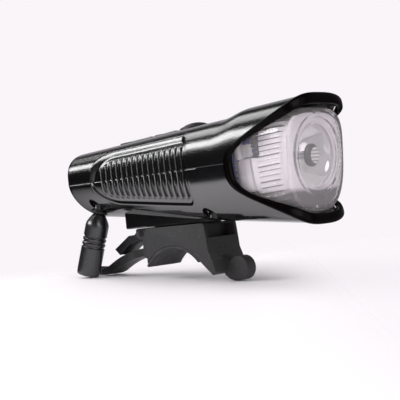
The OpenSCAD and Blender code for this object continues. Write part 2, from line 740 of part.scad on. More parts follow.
module rear_top_pad() {
  color("#3a3a40") on_casing() crown_pad(rear_pad_y);
}

module front_top_pad() {
  color("#3a3a40") on_casing() crown_pad(front_pad_y);
}

module casing_screws() {
  color("#8d9096") on_casing() at_screws() {
    translate([0, 0, screw_seat_z - 0.4]) cylinder(d = screw_d, h = screw_l + 0.4);
    translate([0, 0, screw_seat_z - 1.6]) difference() {
      cylinder(d = screw_head_d, h = 1.6);
      translate([0, 0, -0.1]) cylinder(d = 2, h = 1, $fn = 6);
    }
  }
}

brass_d = 3.2;
brass_at = [-5, -21.6, -17.6];

module brass_insert() {
  color("#b5803c") on_casing() translate(brass_at) difference() {
    translate([0, 0, -1.1]) cylinder(d = brass_d - 0.1, h = 4);
    translate([0, 0, -2]) cylinder(d = 1.6, h = 3);
  }
}

// Lead, bush and connector
grommet_d = lead_d + 1.4;
flange_d = 6.4;
flange_low = -0.8;
cone_l = 3.6;

module lead_grommet() {
  color("#1c1c20") on_casing() on_lead() difference() {
    union() {
      translate([0, 0, -3]) cylinder(d = grommet_d, h = 4.1 + flange_low);
      translate([0, 0, flange_low + 0.1]) cylinder(d = flange_d, h = 1);
    }
    translate([0, 0, -4]) cylinder(d = lead_d + 0.2, h = 8);
  }
}

module lead_neck() {
  color("#1a1a1e") on_casing() on_lead() translate([0, 0, -4.5])
    cylinder(d = lead_d, h = 4.5 + flange_low + 1.4);
}

plug_start = flange_low + 1.4;
socket_d = 3.6;

module connector_body() {
  r = plug_d / 2;
  groove = 0.45;
  ring_at = [9.6, 11.5, 13.4];
  color("#26262b") on_casing() on_lead() translate([0, 0, plug_start]) difference() {
    rotate_extrude() polygon(concat(
      [[0, 0], [lead_d / 2 + 0.4, 0], [r * 0.78, cone_l * 0.6], [r, cone_l + 0.6]],
      [for (z = ring_at) each [[r, z - 0.7], [r - groove, z - 0.5], [r - groove, z + 0.5], [r, z + 0.7]]],
      [[r, plug_l - 0.5], [r - 0.5, plug_l], [0, plug_l]]));
    translate([0, 0, plug_l - 9]) cylinder(d = socket_d, h = 10);
  }
}

module connector_contact() {
  color("#c9a24a") on_casing() on_lead() translate([0, 0, plug_start + plug_l - 9]) difference() {
    cylinder(d = socket_d - 0.1, h = 8.4);
    translate([0, 0, 1]) cylinder(d = socket_d - 0.9, h = 8);
  }
}

// Bracket, drawn on the handlebar's centre
module across(w) { rotate([90, 0, 90]) linear_extrude(w, center = true) children(); }

module hook_outline() {
  nose = [-hook_reach, leg_low + 1.7];
  translate(nose) circle(hook_r);
  polygon([[-leg_front - 1.4, leg_low + 0.6], [-leg_front - 2, leg_low - 0.6],
           [-leg_front - 4, nose[1] - hook_r + 0.7], [nose[0] + 2, nose[1] - hook_r],
           [nose[0], nose[1] - hook_r], nose, [nose[0] + 3.6, nose[1] + 2.4],
           [-leg_front - 2, leg_low + 6.8], [-leg_front - 1, leg_low + 6]]);
}

// Saddle: arch over the handlebar, leg that sweeps forward to the hook
module saddle_outline() {
  tip = [-leg_front - leg_sweep, leg_low];
  difference() {
    polygon([[saddle_rear - 0.8, saddle_top], [saddle_rear, arch_r * 0.5], [0, arch_r * 0.5],
             [tip[0] + 8.7, tip[1] + 7], [tip[0] + 1.4, tip[1]], [tip[0], tip[1] + 1],
             [-leg_front - 2.3, tip[1] + 5], [-leg_front - 0.6, tip[1] + 9.5],
             [-leg_front + 0.2, saddle_top - 0.8], [-leg_front + 0.9, saddle_top]]);
    circle(arch_r, $fn = 96);
  }
}

// Ear at the saddle's rear: carries the lever's trunnion and the strap's bar
module ear_outline() {
  pin = trunnion_d / 2;
  rod = strap_bar_d / 2;
  difference() {
    polygon([[ear_front, saddle_top], [lever_y + pin + 1.6, saddle_top],
             [lever_y + pin + 2.1, saddle_top - 2.9], [lever_y + pin + 0.6, lever_z - pin - 0.7],
             [strap_bar_y + rod + 0.6, lever_z - pin - 1.1],
             [strap_bar_y + rod + 0.6, strap_bar_z - rod - 0.3],
             [strap_bar_y + rod - 0.7, strap_bar_z - rod - 1.1], [ear_front, strap_bar_z - 1]]);
    circle(arch_r, $fn = 96);
  }
}

module bracket_saddle() {
  rail_low = foot_h + lip_t + slide_gap;
  rail_y = foot_front + 1.4;
  rail_l = saddle_rear - 0.8 - rail_y;
  ear_in = lever_w / 2 + 0.4;
  color("#2a2a2e") on_bar() difference() {
    union() {
      difference() {
        across(saddle_w) saddle_outline();
        translate([0, strap_bar_y, strap_bar_z]) rotate([0, 90, 0])
          cylinder(r = eye_r + 0.35, h = strap_w + 0.8, center = true);
      }
      across(hook_w) hook_outline();
      translate([-neck_hw, rail_y, saddle_top - 1])
        cube([2 * neck_hw, rail_l, rail_low - saddle_top + 1 + eps]);
      translate([-head_hw, rail_y, rail_low]) cube([2 * head_hw, rail_l, head_h]);
      for (s = [-1, 1]) translate([s * (ear_in + ear_t / 2), 0, 0]) across(ear_t) ear_outline();
      translate([0, strap_bar_y, strap_bar_z]) rotate([0, 90, 0])
        cylinder(d = strap_bar_d, h = 2 * ear_in + 2, center = true);
    }
    translate([-saddle_w / 2 + 1.5, -leg_front - 1, saddle_top - 5.5])
      cube([saddle_w - 3, pocket_d + 1, 4.7]);
    translate([0, lever_y, lever_z]) rotate([0, 90, 0])
      cylinder(d = trunnion_d + 2 * run_gap, h = 2 * (ear_in + ear_t) + 2, center = true);
  }
}

module saddle_pad() {
  color("#1b1b1d") on_bar() difference() {
    rotate([90, 0, 90]) rotate([0, 0, 31]) translate([0, 0, -saddle_w / 2])
      rotate_extrude(angle = 110.5, $fn = 96) translate([bar_d / 2, 0])
        square([pad_t - pad_play, saddle_w]);
    translate([-saddle_w, saddle_rear + 0.4, 0]) cube([2 * saddle_w, 10, saddle_top]);
  }
}

// Lever: a plate with a drooping thumb end, trunnions at its root and the catch on top
module release_lever() {
  flat_l = lever_l * 0.55;
  tip_z = -0.4 - (lever_l - flat_l) * tan(lever_droop);
  color("#303035") on_bar() translate([0, lever_y, lever_z]) {
    across(lever_w) polygon([
      [-1.6, -1.4], [-1.6, 0.8], [-0.8, 1.2], [foot_rear - lever_y - 0.7, 1],
      [foot_rear - lever_y + 0.9, -0.2], [flat_l, -0.4], [lever_l, tip_z],
      [lever_l - 2.4, tip_z - 2.4], [flat_l - 0.2, -0.4 - lever_t],
      [flat_l - 4.6, 0.2 - lever_t], [0.9, -1.8]]);
    translate([0, foot_rear - lever_y - 1.9, 1]) across(lever_w)
      polygon([[-1, -0.4], [-0.7, catch_h], [0.9, catch_h], [1, -0.4]]);
    rotate([0, 90, 0]) cylinder(d = trunnion_d, h = lever_w + 0.8 + 2 * ear_t - 0.4, center = true);
  }
}

// Strap, along its middle line: level at its eye, a droop, a straight run, a curl and a level pull end.
// A station is its point and its downward angle.
band_z = strap_bar_z - eye_drop;
droop_c = [strap_bar_y + eye_lead, band_z + strap_t / 2 - strap_r];
function strap_normal(a) = [sin(a), cos(a)];
function strap_along(a) = [cos(a), -sin(a)];
function droop_at(a) = droop_c + (strap_r - strap_t / 2) * strap_normal(a);
run_end = droop_at(strap_arc) + strap_run * strap_along(strap_arc);
curl_c = run_end + curl_r * strap_normal(strap_arc);
tail_a = strap_arc - strap_curl;
tail_at = curl_c - curl_r * strap_normal(tail_a);
band_stations = concat([[[strap_bar_y, band_z], 0]],
                       [for (i = [0:strap_n]) let (a = strap_arc * i / strap_n) [droop_at(a), a]],
                       [for (i = [0:strap_n]) let (a = strap_arc - strap_curl * i / strap_n)
                         [curl_c - curl_r * strap_normal(a), a]]);
tail_stations = concat(band_stations, [[tail_at + tail_l * strap_along(tail_a), tail_a]]);

// Outline between two offsets from the middle line
module strap_outline(stations, low, high) {
  n = len(stations);
  polygon(concat([for (s = stations) s[0] + high * strap_normal(s[1])],
                 [for (i = [n - 1:-1:0]) stations[i][0] + low * strap_normal(stations[i][1])]));
}

module strap() {
  slot_w = hook_w + 1;
  color("#1a1a1c") on_bar() difference() {
    union() {
      across(strap_w) {
        translate([strap_bar_y, strap_bar_z]) circle(eye_r);
        strap_outline(tail_stations, -strap_t / 2, strap_t / 2);
      }
      for (s = [-1, 1]) translate([s * (strap_w - bead_w) / 2, 0, 0])
        across(bead_w) strap_outline(band_stations, 0, strap_t / 2 + bead_h);
    }
    translate([0, strap_bar_y, strap_bar_z]) rotate([0, 90, 0])
      cylinder(d = strap_bar_d + 2 * run_gap, h = strap_w + 2, center = true);
    translate([0, tail_at[0], tail_at[1]]) rotate([-tail_a, 0, 0])
      translate([-slot_w / 2, slot_at, -4]) cube([slot_w, slot_l, 8]);
  }
}

upper_casing();
lower_casing();
bezel();
front_lens();
reflector_frame();
reflector();
led_board();
led_emitter();
heat_sink();
battery_cell();
battery_tabs();
battery_foam();
driver_board();
tact_switch();
mode_button();
rear_top_pad();
front_top_pad();
casing_screws();
brass_insert();
lead_grommet();
lead_neck();
connector_body();
connector_contact();
bracket_saddle();
saddle_pad();
release_lever();
strap();
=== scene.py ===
"""Looks of a bike headlight on its handlebar bracket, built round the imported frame.

Sizes are millimetres until a mesh is written, which turns them into metres. X runs along the
handlebar, the beam looks along -Y and +Z is up. The origin is the centre of the handlebar.
"""

from __future__ import annotations

import logging
import math
from dataclasses import dataclass
from enum import Enum
from typing import Any, Sequence

import bmesh
import bpy
import numpy as np
from mathutils import Matrix


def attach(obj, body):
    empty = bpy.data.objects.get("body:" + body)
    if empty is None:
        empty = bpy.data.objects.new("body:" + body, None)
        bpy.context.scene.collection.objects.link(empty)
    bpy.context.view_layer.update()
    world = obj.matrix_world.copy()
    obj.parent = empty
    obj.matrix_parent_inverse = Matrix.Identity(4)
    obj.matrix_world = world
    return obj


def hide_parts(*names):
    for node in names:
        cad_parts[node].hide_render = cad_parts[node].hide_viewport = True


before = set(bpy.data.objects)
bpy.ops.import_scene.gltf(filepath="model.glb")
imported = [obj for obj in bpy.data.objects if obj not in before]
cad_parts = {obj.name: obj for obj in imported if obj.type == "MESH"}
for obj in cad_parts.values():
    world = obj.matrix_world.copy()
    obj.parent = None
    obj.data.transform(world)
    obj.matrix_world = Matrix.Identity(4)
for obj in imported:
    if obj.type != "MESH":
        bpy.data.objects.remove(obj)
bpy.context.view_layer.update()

Array = np.ndarray
Colour = tuple[float, float, float]
LOG = logging.getLogger("headlight")
MM = 0.001
AXIS_X, AXIS_Y, AXIS_Z = np.eye(3)
ROUND = 2 * np.pi
# Radius at which a turned piece is capped on its axis.
POLE_R = 0.05
# Angles in degrees above which an edge stays sharp.
FACETED, CRISP, PLAIN, SOFT, BEADED = 12.0, 35.0, 40.0, 50.0, 60.0


def ease(v: Array) -> Array:
    """Smooth step from 0 to 1: 3u^2 - 2u^3 of the clipped value."""
    u = np.clip(v, 0.0, 1.0)
    return u * u * (3.0 - 2.0 * u)


def spread(v: Array, power: Array | float) -> Array:
    """Signed power 2/p, which bends a circle into a superellipse of power p."""
    return np.sign(v) * np.abs(v) ** (2.0 / power)


class Axis(Enum):
    """Axis of a rotation."""

    X, Y, Z = range(3)


def turn(axis: Axis, degrees: float) -> Array:
    """Rotation as a 3 by 3 matrix: cosines on the diagonal, -sin and sin beside it.

    Args:
        axis: Axis that stays in place.
        degrees: Angle, right-handed.

    Returns:
        The matrix.
    """
    c, s = math.cos(math.radians(degrees)), math.sin(math.radians(degrees))
    i, j = (axis.value + 1) % 3, (axis.value + 2) % 3
    matrix = np.eye(3)
    matrix[[i, i, j, j], [i, j, i, j]] = c, -s, s, c
    return matrix


def circle(steps: int) -> Array:
    """Angles of a full turn in even steps, the end left out."""
    return np.linspace(0, ROUND, steps, endpoint=False)


@dataclass(frozen=True)
class Seat:
    """A local frame of the part: a point is turned, then moved."""

    turn: Array
    move: Array

    def place(self, points: Array) -> Array:
        """Points of this frame in the part's frame."""
        return points @ self.turn.T + self.move

    def holding(self, inner: Seat) -> Seat:
        """The frame that is `inner` as seen from this one."""
        return Seat(self.turn @ inner.turn, self.place(inner.move))

    def moved(self, x: float, y: float, z: float) -> Seat:
        """This frame with its origin moved along its own axes."""
        return self.holding(Seat(np.eye(3), np.array([x, y, z])))


NOSE_UP = 8.0
RAIL_TILT = 3.6
RING_Y, RING_Z = 63.5, 1.7
AXIS_HEIGHT, AXIS_BACK = 42.2, 4.3
LEAD_DIR = np.array([-0.10, 0.385, -1.0])
LEAD_EXIT = np.array([-9, 39.2, -7.15])
HERE = Seat(np.eye(3), np.zeros(3))
BAR = Seat(turn(Axis.X, RAIL_TILT - NOSE_UP), np.zeros(3))
LIFT = turn(Axis.X, -NOSE_UP)
CASING = Seat(LIFT, LIFT @ np.array([0, -AXIS_BACK, AXIS_HEIGHT]))
BEAM = CASING.holding(Seat(
    turn(Axis.X, NOSE_UP) @ turn(Axis.X, -90), np.array([0, -RING_Y, -RING_Z])))
LEAD = CASING.holding(Seat(
    turn(Axis.Z, math.degrees(math.atan2(LEAD_DIR[1], LEAD_DIR[0])))
    @ turn(Axis.Y, math.degrees(math.acos(LEAD_DIR[2] / np.linalg.norm(LEAD_DIR)))),
    LEAD_EXIT))


def chaikin(points: Array, times: int, closed: bool) -> Array:
    """Cuts the corners of a polyline along axis 0: each edge keeps its points at 1/4 and 3/4.

    Args:
        points: Array whose first axis runs along the line.
        times: How often the corners are cut.
        closed: Whether the last point joins the first.

    Returns:
        The finer line; an open one keeps its two ends.
    """
    for _ in range(times):
        nxt = np.roll(points, -1, 0) if closed else points[1:]
        cur = points if closed else points[:-1]
        cut = np.stack([0.75 * cur + 0.25 * nxt, 0.25 * cur + 0.75 * nxt], 1)
        cut = cut.reshape((-1,) + points.shape[1:])
        points = cut if closed else np.concatenate([points[:1], cut, points[-1:]])
    return points


class Shell:
    """Collects point grids and faces in one local frame and writes them as one mesh."""

    def __init__(self, seat: Seat) -> None:
        """Starts an empty mesh whose points are in the frame `seat`.

        Args:
            seat: Frame that the points are given in.
        """
        self.seat = seat
        self.points: list[Array] = []
        self.faces: list[list[int]] = []
        self.total = 0

    def add(self, points: Array) -> Array:
        """Adds points and returns their indices.

        Args:
            points: Grid of points, the last axis being x, y, z.

        Returns:
            Indices in the same grid.
        """
        flat = np.asarray(points, float).reshape(-1, 3)
        index = np.arange(self.total, self.total + len(flat)).reshape(points.shape[:-1])
        self.points.append(flat)
        self.total += len(flat)
        return index

    def weave(self, index: Array, wrap_rows: bool = False, wrap_cols: bool = False) -> None:
        """Adds the quads between neighbouring rows and columns of an index grid.

        Args:
            index: Grid of indices.
            wrap_rows: Whether the last row joins the first.
            wrap_cols: Whether the last column joins the first.
        """
        if wrap_rows:
            index = np.concatenate([index, index[:1]], 0)
        if wrap_cols:
            index = np.concatenate([index, index[:, :1]], 1)
        quads = np.stack([index[:-1, :-1], index[:-1, 1:], index[1:, 1:], index[1:, :-1]], -1)
        self.faces += quads.reshape(-1, 4).tolist()

    def grid(self, points: Array, wrap_rows: bool = False, wrap_cols: bool = False) -> Array:
        """Adds a grid of points with its quads and returns the indices.

        Args:
            points: Grid of points.
            wrap_rows: Whether the last row joins the first.
            wrap_cols: Whether the last column joins the first.

        Returns:
            Indices in the same grid.
        """
        index = self.add(points)
        self.weave(index, wrap_rows, wrap_cols)
        return index

    def cap(self, *rings: Array) -> None:
        """Closes each ring of indices with one polygon."""
        self.faces += [[int(i) for i in ring] for ring in rings]

    def rim(self, fine: Array, coarse: Array, keep: Array) -> None:
        """Joins a fine row to a coarse one that has only its points `keep`."""
        for k in range(len(keep) - 1):
            self.cap(np.concatenate([fine[keep[k]:keep[k + 1] + 1], coarse[[k + 1, k]]]))

    def revolve(self, profile: Array, segments: int, closed: bool) -> None:
        """Turns a profile about Z: the point (r, z) goes to (r cos a, r sin a, z).

        Args:
            profile: Rows of radius and height.
            segments: Steps round the axis.
            closed: Whether the profile is a loop; an open one is capped at both ends.
        """
        a = circle(segments)
        r, z = profile[:, :1], profile[:, 1:]
        index = self.grid(np.stack([r * np.cos(a), r * np.sin(a), z + 0 * a], -1), closed, True)
        if not closed:
            self.cap(index[0], index[-1])

    def sweep(self, profile: Array, path: Array, side: Array, up: Array) -> None:
        """Carries a closed profile along a path: p + u side + v up for each profile point (u, v).

        Args:
            profile: Rows of u and v.
            path: Points of the path.
            side: Unit vector of u, one for all or one at each point of the path.
            up: Unit vector of v in the same way.
        """
        u, v = profile[None, :, :1], profile[None, :, 1:]
        side, up = np.broadcast_to(side, path.shape), np.broadcast_to(up, path.shape)
        index = self.grid(path[:, None] + u * side[:, None] + v * up[:, None], False, True)
        self.cap(index[0], index[-1])

    def block(self, low: Sequence[float], high: Sequence[float]) -> None:
        """Adds a box between two corners, as a four-sided tube with its ends closed.

        Args:
            low: Corner with the least x, y and z.
            high: Corner with the greatest.
        """
        (x0, y0, z0), (x1, y1, z1) = low, high
        ring = np.array([[x0, z0], [x1, z0], [x1, z1], [x0, z1]])
        self.prism(ring, y0, y1)

    def prism(self, outline: Array, y0: float, y1: float) -> None:
        """Extrudes an outline of x and z from y0 to y1."""
        self.sweep(outline, np.array([y0 * AXIS_Y, y1 * AXIS_Y]), AXIS_X, AXIS_Z)

    def rod(self, at: Sequence[float], radius: float, low: float, high: float,
            segments: int = 48) -> None:
        """Adds a closed round rod along Z between two heights.

        Args:
            at: Place of the axis in x and y.
            radius: Radius of the rod.
            low: Lower end.
            high: Upper end.
            segments: Steps round the axis.
        """
        a = circle(segments)
        ring = radius * np.stack([np.cos(a), np.sin(a)], -1)
        self.sweep(ring, np.array([[*at, low], [*at, high]]), AXIS_X, AXIS_Y)

    def build(self, name: str, smooth: float = PLAIN) -> bpy.types.Object:
        """Writes the mesh with its faces turned outwards.

        Args:
            name: Name of the object.
            smooth: Angle in degrees above which an edge stays sharp.

        Returns:
            The new object, at the origin.
        """
        mesh = bpy.data.meshes.new(name)
        points = self.seat.place(np.concatenate(self.points)) * MM
        mesh.from_pydata(points.tolist(), [], self.faces)
        work = bmesh.new()
        work.from_mesh(mesh)
        bmesh.ops.recalc_face_normals(work, faces=work.faces)
        work.to_mesh(mesh)
        work.free()
        shade(mesh, smooth)
        return link(name, mesh)


def turned(seat: Seat, profile: Array, segments: int, closed: bool, name: str,
           smooth: float = SOFT) -> bpy.types.Object:
    """Piece that is one profile turned about the axis of a frame.

    Args:
        seat: Frame whose Z is the axis.
        profile: Rows of radius and height.
        segments: Steps round the axis.
        closed: Whether the profile is a loop.
        name: Name of the object.
        smooth: Angle in degrees above which an edge stays sharp.

    Returns:
        The new object.
    """
    shell = Shell(seat)
    shell.revolve(profile, segments, closed)
    return shell.build(name, smooth)


def link(name: str, data: bpy.types.ID) -> bpy.types.Object:
    """New object at the origin, in the scene.

    Args:
        name: Name of the object.
        data: Mesh, camera or lamp.

    Returns:
        The new object.
    """
    made = bpy.data.objects.new(name, data)
    bpy.context.scene.collection.objects.link(made)
    return made


def shade(mesh: bpy.types.Mesh, smooth: float) -> None:
    """Shades a mesh smooth up to an angle in degrees."""
    mesh.shade_smooth()
    mesh.set_sharp_from_angle(angle=math.radians(smooth))


def apply_modifiers(piece: bpy.types.Object, smooth: float) -> None:
    """Bakes the piece's modifiers into its mesh.

    Args:
        piece: Object with modifiers.
        smooth: Angle in degrees above which an edge stays sharp.
    """
    shape = piece.evaluated_get(bpy.context.evaluated_depsgraph_get())
    mesh = bpy.data.meshes.new_from_object(shape)
    piece.modifiers.clear()
    piece.data = mesh
    shade(mesh, smooth)


class Carve(Enum):
    """How a tool body acts on a piece."""

    ADD = "UNION"
    CUT = "DIFFERENCE"


def carve(piece: bpy.types.Object, tool: Shell, how: Carve,
          smooth: float = PLAIN) -> None:
    """Adds a tool body to a piece or cuts it away, and removes the tool.

    Args:
        piece: Object that is changed.
        tool: Body that acts on it.
        how: Whether the tool is added or cut away.
        smooth: Angle in degrees above which an edge stays sharp.
    """
    body = tool.build("tool")
    step = piece.modifiers.new("carve", "BOOLEAN")
    step.operation, step.solver, step.object = how.value, "MANIFOLD", body
    apply_modifiers(piece, smooth)
    bpy.data.objects.remove(body)


def rounded_copy(node: str, radius: float) -> bpy.types.Object:
    """Copies a rigid frame node and rounds its edges.

    Args:
        node: Name of the frame node.
        radius: Edge radius in millimetres.

    Returns:
        The new object.
    """
    weld, flat, sharp, steps = 0.002, 0.6, 38.0, 3
    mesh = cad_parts[node].data.copy()
    mesh.materials.clear()
    work = bmesh.new()
    work.from_mesh(mesh)
    bmesh.ops.remove_doubles(work, verts=work.verts, dist=weld * MM)
    bmesh.ops.dissolve_limit(
        work, angle_limit=math.radians(flat), verts=work.verts, edges=work.edges)
    work.to_mesh(mesh)
    work.free()
    made = link(node + "_rounded", mesh)
    bevel = made.modifiers.new("rounding", "BEVEL")
    bevel.width, bevel.segments, bevel.limit_method = radius * MM, steps, "ANGLE"
    bevel.angle_limit, bevel.use_clamp_overlap = math.radians(sharp), True
    apply_modifiers(made, CRISP)
    return made


class Sock:
    """A shader value whose arithmetic adds Math nodes."""

    def __init__(self, shade: Shade, socket: bpy.types.NodeSocket) -> None:
        """Wraps an output socket of the tree that `shade` builds."""
        self.shade = shade
        self.socket = socket

    def _math(self, operation: str, a: Any, b: Any) -> Sock:
        """Math node of two values."""
        return self.shade.node("ShaderNodeMath", {"operation": operation}, {0: a, 1: b})

    def __add__(self, other: Any) -> Sock:
        """Sum."""
        return self._math("ADD", self, other)

    __radd__ = __add__

    def __sub__(self, other: Any) -> Sock:
        """Difference."""
        return self._math("SUBTRACT", self, other)

    def __rsub__(self, other: Any) -> Sock:
        """Difference from a number."""
        return self._math("SUBTRACT", other, self)

    def __mul__(self, other: Any) -> Sock:
        """Product."""
        return self._math("MULTIPLY", self, other)

    __rmul__ = __mul__

    def step(self, low: float, high: float) -> Sock:
        """Smooth step of this value between two bounds."""
        return self.shade.node("ShaderNodeMapRange", {"interpolation_type": "SMOOTHSTEP"},
                               {0: self, 1: low, 2: high, 3: 0.0, 4: 1.0})


class Shade:
    """Builds the node tree of a material or of the world."""

    def __init__(self, owner: bpy.types.Material | bpy.types.World) -> None:
        """Empties the owner's tree.

        Args:
            owner: Material or world that gets the tree.
        """
        owner.use_nodes = True
        self.owner = owner
        self.tree = owner.node_tree
        self.tree.nodes.clear()

    @classmethod
    def named(cls, name: str) -> Shade:
        """Starts a new material."""
        return cls(bpy.data.materials.new(name))

    def node(self, kind: str, settings: dict[str, Any] | None = None,
             inputs: dict[Any, Any] | None = None, out: int | str = 0) -> Sock:
        """Adds any node.

        Args:
            kind: Blender's type of the node.
            settings: Properties, set first.
            inputs: Values or links of its sockets.
            out: Output that is wanted.

        Returns:
            That output.
        """
        made = self.tree.nodes.new(kind)
        for key, value in (settings or {}).items():
            setattr(made, key, value)
        for key, value in (inputs or {}).items():
            if isinstance(value, Sock):
                self.tree.links.new(value.socket, made.inputs[key])
            else:
                made.inputs[key].default_value = value
        return Sock(self, made.outputs[out])

    def spot(self, stretch: Sequence[float] = (1.0, 1.0, 1.0)) -> Sock:
        """Object coordinates, stretched along the axes."""
        plain = self.node("ShaderNodeTexCoord", out="Object")
        return self.node("ShaderNodeMapping", {}, {"Vector": plain, "Scale": tuple(stretch)})

    def noise(self, size: float, detail: float = 2.0, rough: float = 0.5,
              stretch: Sequence[float] = (1.0, 1.0, 1.0)) -> Sock:
        """Noise whose grains are about `size` millimetres across.

        Args:
            size: Size of the grains.
            detail: Octaves of finer noise.
            rough: Weight of the finer noise.
            stretch: Scale along each axis.

        Returns:
            The noise, around a half.
        """
        return self.node("ShaderNodeTexNoise", {}, {
            "Vector": self.spot(stretch), "Scale": 1.0 / (size * MM), "Detail": detail,
            "Roughness": rough})

    def cells(self, size: float) -> Sock:
        """Distance to the middle of cells of about `size` millimetres."""
        return self.node("ShaderNodeTexVoronoi", {}, {
            "Vector": self.spot(), "Scale": 1.0 / (size * MM)})

    def along(self, vector: Sock, way: Sequence[float]) -> Sock:
        """Dot product of a vector with a fixed direction."""
        return self.node("ShaderNodeVectorMath", {"operation": "DOT_PRODUCT"},
                         {0: vector, 1: tuple(way)}, "Value")

    def mix(self, share: Any, a: Any, b: Any) -> Sock:
        """Colour that goes from a to b.

        Args:
            share: Share of b.
            a: Colour or link.
            b: Colour or link.

        Returns:
            The mixed colour.
        """
        a = (*a, 1.0) if isinstance(a, tuple) else a
        b = (*b, 1.0) if isinstance(b, tuple) else b
        return self.node("ShaderNodeMix", {"data_type": "RGBA"}, {0: share, 6: a, 7: b}, 2)

    def bump(self, height: Sock, strength: float, depth: float) -> Sock:
        """Normal of a height field that is `depth` millimetres deep."""
        return self.node("ShaderNodeBump", {}, {
            "Height": height, "Strength": strength, "Distance": depth * MM})

    def principled(self, **inputs: Any) -> Sock:
        """Main shader with the named inputs.

        Args:
            inputs: Values or links, by the names of the sockets in lower case.

        Returns:
            The shader.
        """
        named = {key.replace("_", " ").title().replace("Ior", "IOR"): value
                 for key, value in inputs.items()}
        return self.node("ShaderNodeBsdfPrincipled", {}, named)

    def surface(self, **inputs: Any) -> bpy.types.Material:
        """Feeds the main shader and the output, and returns the finished material."""
        return self.end(self.principled(**inputs))

    def end(self, shader: Sock) -> Any:
        """Joins a shader to the output and returns the tree's owner.

        Args:
            shader: Shader of the surface.

        Returns:
            The material or the world.
        """
        world = isinstance(self.owner, bpy.types.World)
        last = self.tree.nodes.new("ShaderNodeOutput" + ("World" if world else "Material"))
        self.tree.links.new(shader.socket, last.inputs["Surface"])
        return self.owner


@dataclass(frozen=True)
class Plastic:
    """Moulded plastic with a grain in its surface and faint marks of handling."""

    name: str
    colour: Colour
    roughness: float
    grain: float
    grain_depth: float
    specular: float = 0.5
    coat: float = 0.0
    dust: float = 0.0
    ior: float = 1.5

    def material(self) -> bpy.types.Material:
        """Colour drifts by a tenth, dust adds pale specks, the grain is a bump.

        Returns:
            The finished material.
        """
        s = Shade.named(self.name)
        drift = s.noise(14.0, 3.0)
        grain = s.noise(self.grain, 2.0, 0.6)
        marks = s.noise(1.1, 4.0, 0.7).step(0.62, 0.78)
        pale = tuple(min(1.0, c * 1.3) for c in self.colour)
        tone = s.mix(drift, self.colour, pale)
        specks = s.cells(0.9).step(0.16, 0.05) * self.dust
        tone = s.mix(specks, tone, (0.32, 0.31, 0.31))
        rough = self.roughness + 0.06 * (drift - 0.5) + 0.05 * marks
        return s.surface(
            base_color=tone, roughness=rough, specular_ior_level=self.specular, ior=self.ior,
            coat_weight=self.coat, coat_roughness=0.06,
            normal=s.bump(grain, 1.0, self.grain_depth))


@dataclass(frozen=True)
class Rubber:
    """Moulded rubber: matt, finely pitted, paler where it is rubbed."""

    name: str
    colour: Colour
    roughness: float = 0.6

    def material(self) -> bpy.types.Material:
        """Two sizes of noise make the pits, a wide one the rubbed places.

        Returns:
            The finished material.
        """
        s = Shade.named(self.name)
        pits = s.noise(0.22, 3.0, 0.65) + 0.5 * s.noise(0.9, 2.0)
        rubbed = s.noise(5.0, 3.0, 0.6).step(0.45, 0.75)
        pale = tuple(c * 1.7 + 0.006 for c in self.colour)
        return s.surface(
            base_color=s.mix(rubbed, self.colour, pale),
            roughness=self.roughness - 0.08 * rubbed + 0.05 * pits,
            specular_ior_level=0.4, normal=s.bump(pits, 0.8, 0.03))


@dataclass(frozen=True)
class Metal:
    """Bare or plated metal with a brushed or cast surface."""

    name: str
    colour: Colour
    roughness: float
    brush: tuple[float, float, float] = (1.0, 1.0, 1.0)
    bump_depth: float = 0.006
    metallic: float = 1.0

    def material(self) -> bpy.types.Material:
        """Stretched noise for the brushing, a wide noise for the tarnish.

        Returns:
            The finished material.
        """
        s = Shade.named(self.name)
        lines = s.noise(0.35, 3.0, 0.6, self.brush)
        haze = s.noise(4.0, 3.0)
        dull = tuple(c * 0.82 for c in self.colour)
        return s.surface(
            base_color=s.mix(haze, dull, self.colour), metallic=self.metallic,
            roughness=self.roughness + 0.08 * (lines - 0.5) + 0.05 * haze,
            normal=s.bump(lines, 0.6, self.bump_depth))


@dataclass(frozen=True)
class Clear:
    """Clear moulded plastic with a faint tint and flow marks."""

    name: str
    tint: Colour

    def material(self) -> bpy.types.Material:
        """Refracting shader; the flow marks roughen it by a few hundredths.

        Returns:
            The finished material.
        """
        s = Shade.named(self.name)
        flow = s.noise(6.0, 3.0, 0.6)
        pale = tuple(min(1.0, c + 0.02) for c in self.tint)
        return s.surface(
            base_color=s.mix(flow, self.tint, pale), roughness=0.03 + 0.05 * flow,
            ior=1.40, transmission_weight=0.93, normal=s.bump(flow, 0.25, 0.02))


@dataclass(frozen=True)
class Painted:
    """A skin of paint, mask or wrap with bands along the part's length."""

    name: str
    colour: Colour
    band: Colour
    pitch: float
    roughness: float

    def material(self) -> bpy.types.Material:
        """Bands across Y by a wave, mottled by noise.

        Returns:
            The finished material.
        """
        s = Shade.named(self.name)
        wave = s.node("ShaderNodeTexWave", {"bands_direction": "Y"}, {
            "Vector": s.spot(), "Scale": 1.0 / (self.pitch * MM) / 20.0, "Distortion": 0.4}, 1)
        mottle = s.noise(1.5, 3.0)
        share = wave.step(0.86, 0.94) * 0.8 + 0.15 * mottle
        return s.surface(
            base_color=s.mix(share, self.colour, self.band),
            roughness=self.roughness + 0.1 * mottle, normal=s.bump(mottle, 0.3, 0.02))


@dataclass(frozen=True)
class Pale:
    """Pale silvered plastic, with painted shade below a height and its own pale tone above it."""

    name: str
    low: Colour
    high: Colour
    heights: tuple[float, float]

    def material(self) -> bpy.types.Material:
        """The tone is a smooth step of the height in millimetres, clouded by noise: painted shade
        below, the own pale tone above.

        Returns:
            The finished material.
        """
        s = Shade.named(self.name)
        cloud = s.noise(5.0, 3.0)
        tall = s.node("ShaderNodeSeparateXYZ", {}, {0: s.spot()}, "Z")
        # Share of the liner's own pale tone; below the step the liner gets painted shade.
        lit = (tall + 0.0015 * (cloud - 0.5)).step(*(h * MM for h in self.heights))
        return s.surface(
            base_color=s.mix(lit, self.low, self.high), roughness=0.25 + 0.1 * cloud,
            normal=s.bump(cloud, 0.3, 0.02))


